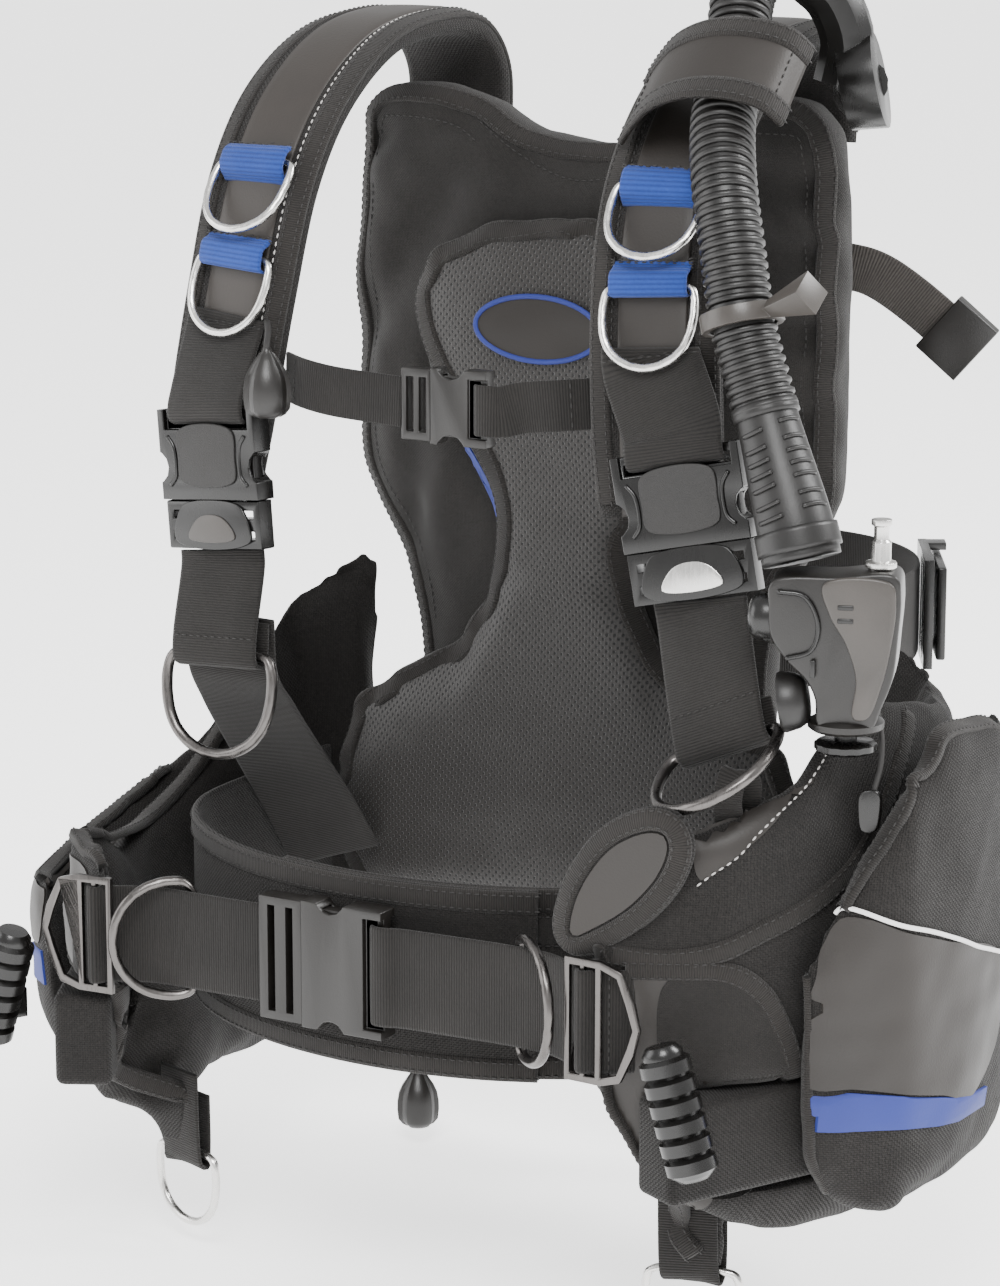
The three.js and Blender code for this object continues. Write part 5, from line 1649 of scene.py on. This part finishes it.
def makePulls():
    for side, s in sides.items():
        body = f"weight_pouch_{side}"
        hardPiece(body, "shell", 4.5, segments=4)
        box = [np.array(c) * 1000 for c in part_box(f"weight_handle_{side}")]
        x = grip["x"] if side == "left" else box[0][0] + grip["rightIn"]
        way = np.array((-s * math.sin(grip["lean"]), 0, math.cos(grip["lean"])))
        base = np.array((x, grip["y"], grip["z"])) - way * grip["long"] / 2
        profile = [(0.1, 0), (7, 0.2)]
        pitch = (grip["long"] - 8) / grip["ribs"]
        for i in range(grip["ribs"]):
            z = 4 + i * pitch
            profile += [(grip["waist"], z - 1.6), (grip["radius"], z + 0.4),
                (grip["radius"], z + pitch - 3.2),
                        (grip["waist"], z + pitch - 1.4)]
        profile += [(grip["waist"], grip["long"] - 3), (7, grip["long"] - 0.2), (0.1, grip["long"])]
        lathe(f"weight_handle_{side}_grip", profile, base, way, shade["black"], 36, body=body,
            slot="rubber_black",
              hides=f"weight_handle_{side}")
        out = np.array((s * 0.454, -0.891, 0))
        root = np.array((x + s * 4, grip["y"] + 4, -178))
        path = curveBy([root - out * 14, root - out * 5, root, root + out * 3], 1.0)
        strip(f"weight_handle_{side}_tongue", path, (0, 0, 1), 15, 4.5, shade["black"], body=body,
            slot="rubber_black")
    for name, at, body in (("shoulder", (-73.4, -238, 114), "dump_knob_shoulder"),
            ("rear", (-110, -43, -306), "dump_knob_rear")):
        lathe(f"dump_knob_{name}_grip", knob, at, (0, 0, 1), shade["satin"], 48, 3, 0.17, body=body,
            slot="plastic_black",
              hides=body)
        top = np.array(at) + (0, 0, 33)
        end = top + ((-16.6, 26, 8) if name == "shoulder" else (0, 0, 44))
        tube(f"dump_knob_{name}_cord", curveBy([top - (0, 0, 3), top, (top + end) / 2 + (0, 1, 1), end],
            2.0), 1.6,
             shade["thread"], 10, body=body, slot="plastic_black")


makePulls()

flapTrim = {"thick": 2.4, "binding": 12}


def makeFlap():
    p, w, width = outward(finer(runOf("hose_flap", (-1, 0, 0)), 1.6, 2), (0, -1, 0.6))
    normals, w = normalsOf(p, w)
    strip("hose_flap_cloth", p, w, 49, flapTrim["thick"], shade["panel"], webSection, normals,
        slot="smooth_panel",
          hides="hose_flap")
    for edge in (-1, 1):
        line = p + w * edge * (24.5 - flapTrim["binding"] / 2) + normals * flapTrim["thick"] / 2
        strip(f"hose_flap_binding_{'low' if edge < 0 else 'top'}", line, w, flapTrim["binding"], 1.1,
            shade["binding"], tapeSection,
              normals, slot="webbing_black")
        for row in (-0.3, 0.3):
            stitchRow(line + w * row * flapTrim["binding"] + normals * 1.1, normals)
    for at in (6, len(p) - 7):
        line = np.array([p[at] + w[at] * k + normals[at] * (flapTrim["thick"] / 2 + 0.4) for k in np.linspace(-20, 20, 12)])
        stitchRow(line, np.repeat(normals[at][None], len(line), 0))


makeFlap()

# ---------- buckle details ----------
chestBuckle = {"left": ((146, -224, 71), (-0.21403, 0.05945, 0.97502)),
    "right": ((-111, -225, 69), (-0.09704, 0.03639, 0.99462))}


def makeBuckleTrim():
    for side, s in sides.items():
        mouth, up = np.array(chestBuckle[side][0], float), np.array(chestBuckle[side][1])
        across = unit(np.cross(up, (s * 0.14, -1, 0)))
        out = unit(np.cross(across, up))

        def place(x, y, z):
            return mouth + across * x + up * y + out * z

        female, male = f"shoulder_buckle_female_{side}", f"shoulder_buckle_male_{side}"
        pad = [(-17, 9), (17, 9), (18.5, 20), (17, 34), (-17, 34), (-18.5, 20)]
        block(f"{female}_pad", rounded(pad, 2.0), 5.4, 7.1, place, "pad", 0.6, slot="plastic_black")
        for edge in (-1, 1):
            rim = [place(edge * x, y, 5.9) for x,
                y in ((25, 7), (21.5, 11), (20.6, 18), (21.5, 26), (25, 31))]
            tube(f"{female}_rim_{'a' if edge < 0 else 'b'}", curveBy(rim, 1.2), 1.15, shade["black"], 8,
                slot="plastic_black")
        lever = [(-24, -20), (24, -20), (20, -4), (14, -1), (-14, -1), (-20, -4)]
        block(f"{male}_lever", rounded(lever, 2.0), 4.6, 6.4, place, "black", 0.6, body=male,
            slot="plastic_black")
        moon = [(-15, -18.5), (-11, -11), (-5, -7.5), (5, -7.5), (11, -11), (15, -18.5)]
        block(f"{male}_moon", rounded(moon, 2.0), 6.2, 7.2, place, "grey" if side == "right" else "steel",
            0.4, body=male,
              slot="plastic_black")
    tag = [(0, 0), (14, 0), (14, 6), (0, 6)]
    block("blue_tag", tag, 0, 1.2, lambda x, y, z: (122 + x, -229.5 - z, 50.5 + y), "blueCloth", 0.3,
        body="shoulder_buckle_male_left",
          slot="webbing_blue")


makeBuckleTrim()


def makeFastenings():
    # a loop behind the large left ring, and the zip pull beside the inflator
    loop = curveBy([(186, -262, -46), (188, -268, -30), (190, -264, -20), (191, -256, -26),
        (190, -254, -44)], 1.5)
    strip("ring_keeper", loop, unit((1, 0.5, 0)), 13, 1.8, shade["webbing"], slot="webbing_black")
    pull = curveBy([(233, -212, 6), (238, -216, -6), (240, -220, -20), (238, -224, -34)], 1.5)
    tube("zip_pull_cord", pull, 1.3, shade["thread"], 8, slot="plastic_black")
    tab = [(-4, 0), (4, 0), (5, -10), (3, -18), (-3, -18), (-5, -10)]
    block("zip_pull_tab", rounded(tab, 2.0), -1.5, 1.5, lambda x, y,
        z: (238 + x * 0.8, -226 + x * 0.5 - z, -32 + y), "black", 0.6,
          slot="plastic_black")


makeFastenings()
print("pulls, flap and buckles made")

# ---------- stitches ----------
stitch = {"pitch": 4.0, "long": 2.9, "thick": 0.85}


def makeStitches():
    for (body, thread), rows in stitchRows.items():
        pale = thread == "threadPale"
        settings = {"Pitch": stitch["pitch"] / 1000, "Length": stitch["long"] / 1000,
                    "Thickness": stitch["thick"] * (1.2 if pale else 1) / 1000, "Material": shade[thread]}
        grown(f"stitches_{'pale' if pale else 'dark'}_{body}", "stitch", [r[0] for r in rows], "up",
            [r[1] for r in rows], settings,
              body)


makeStitches()
print("stitches made:", sum(len(r) for r in stitchRows.values()))
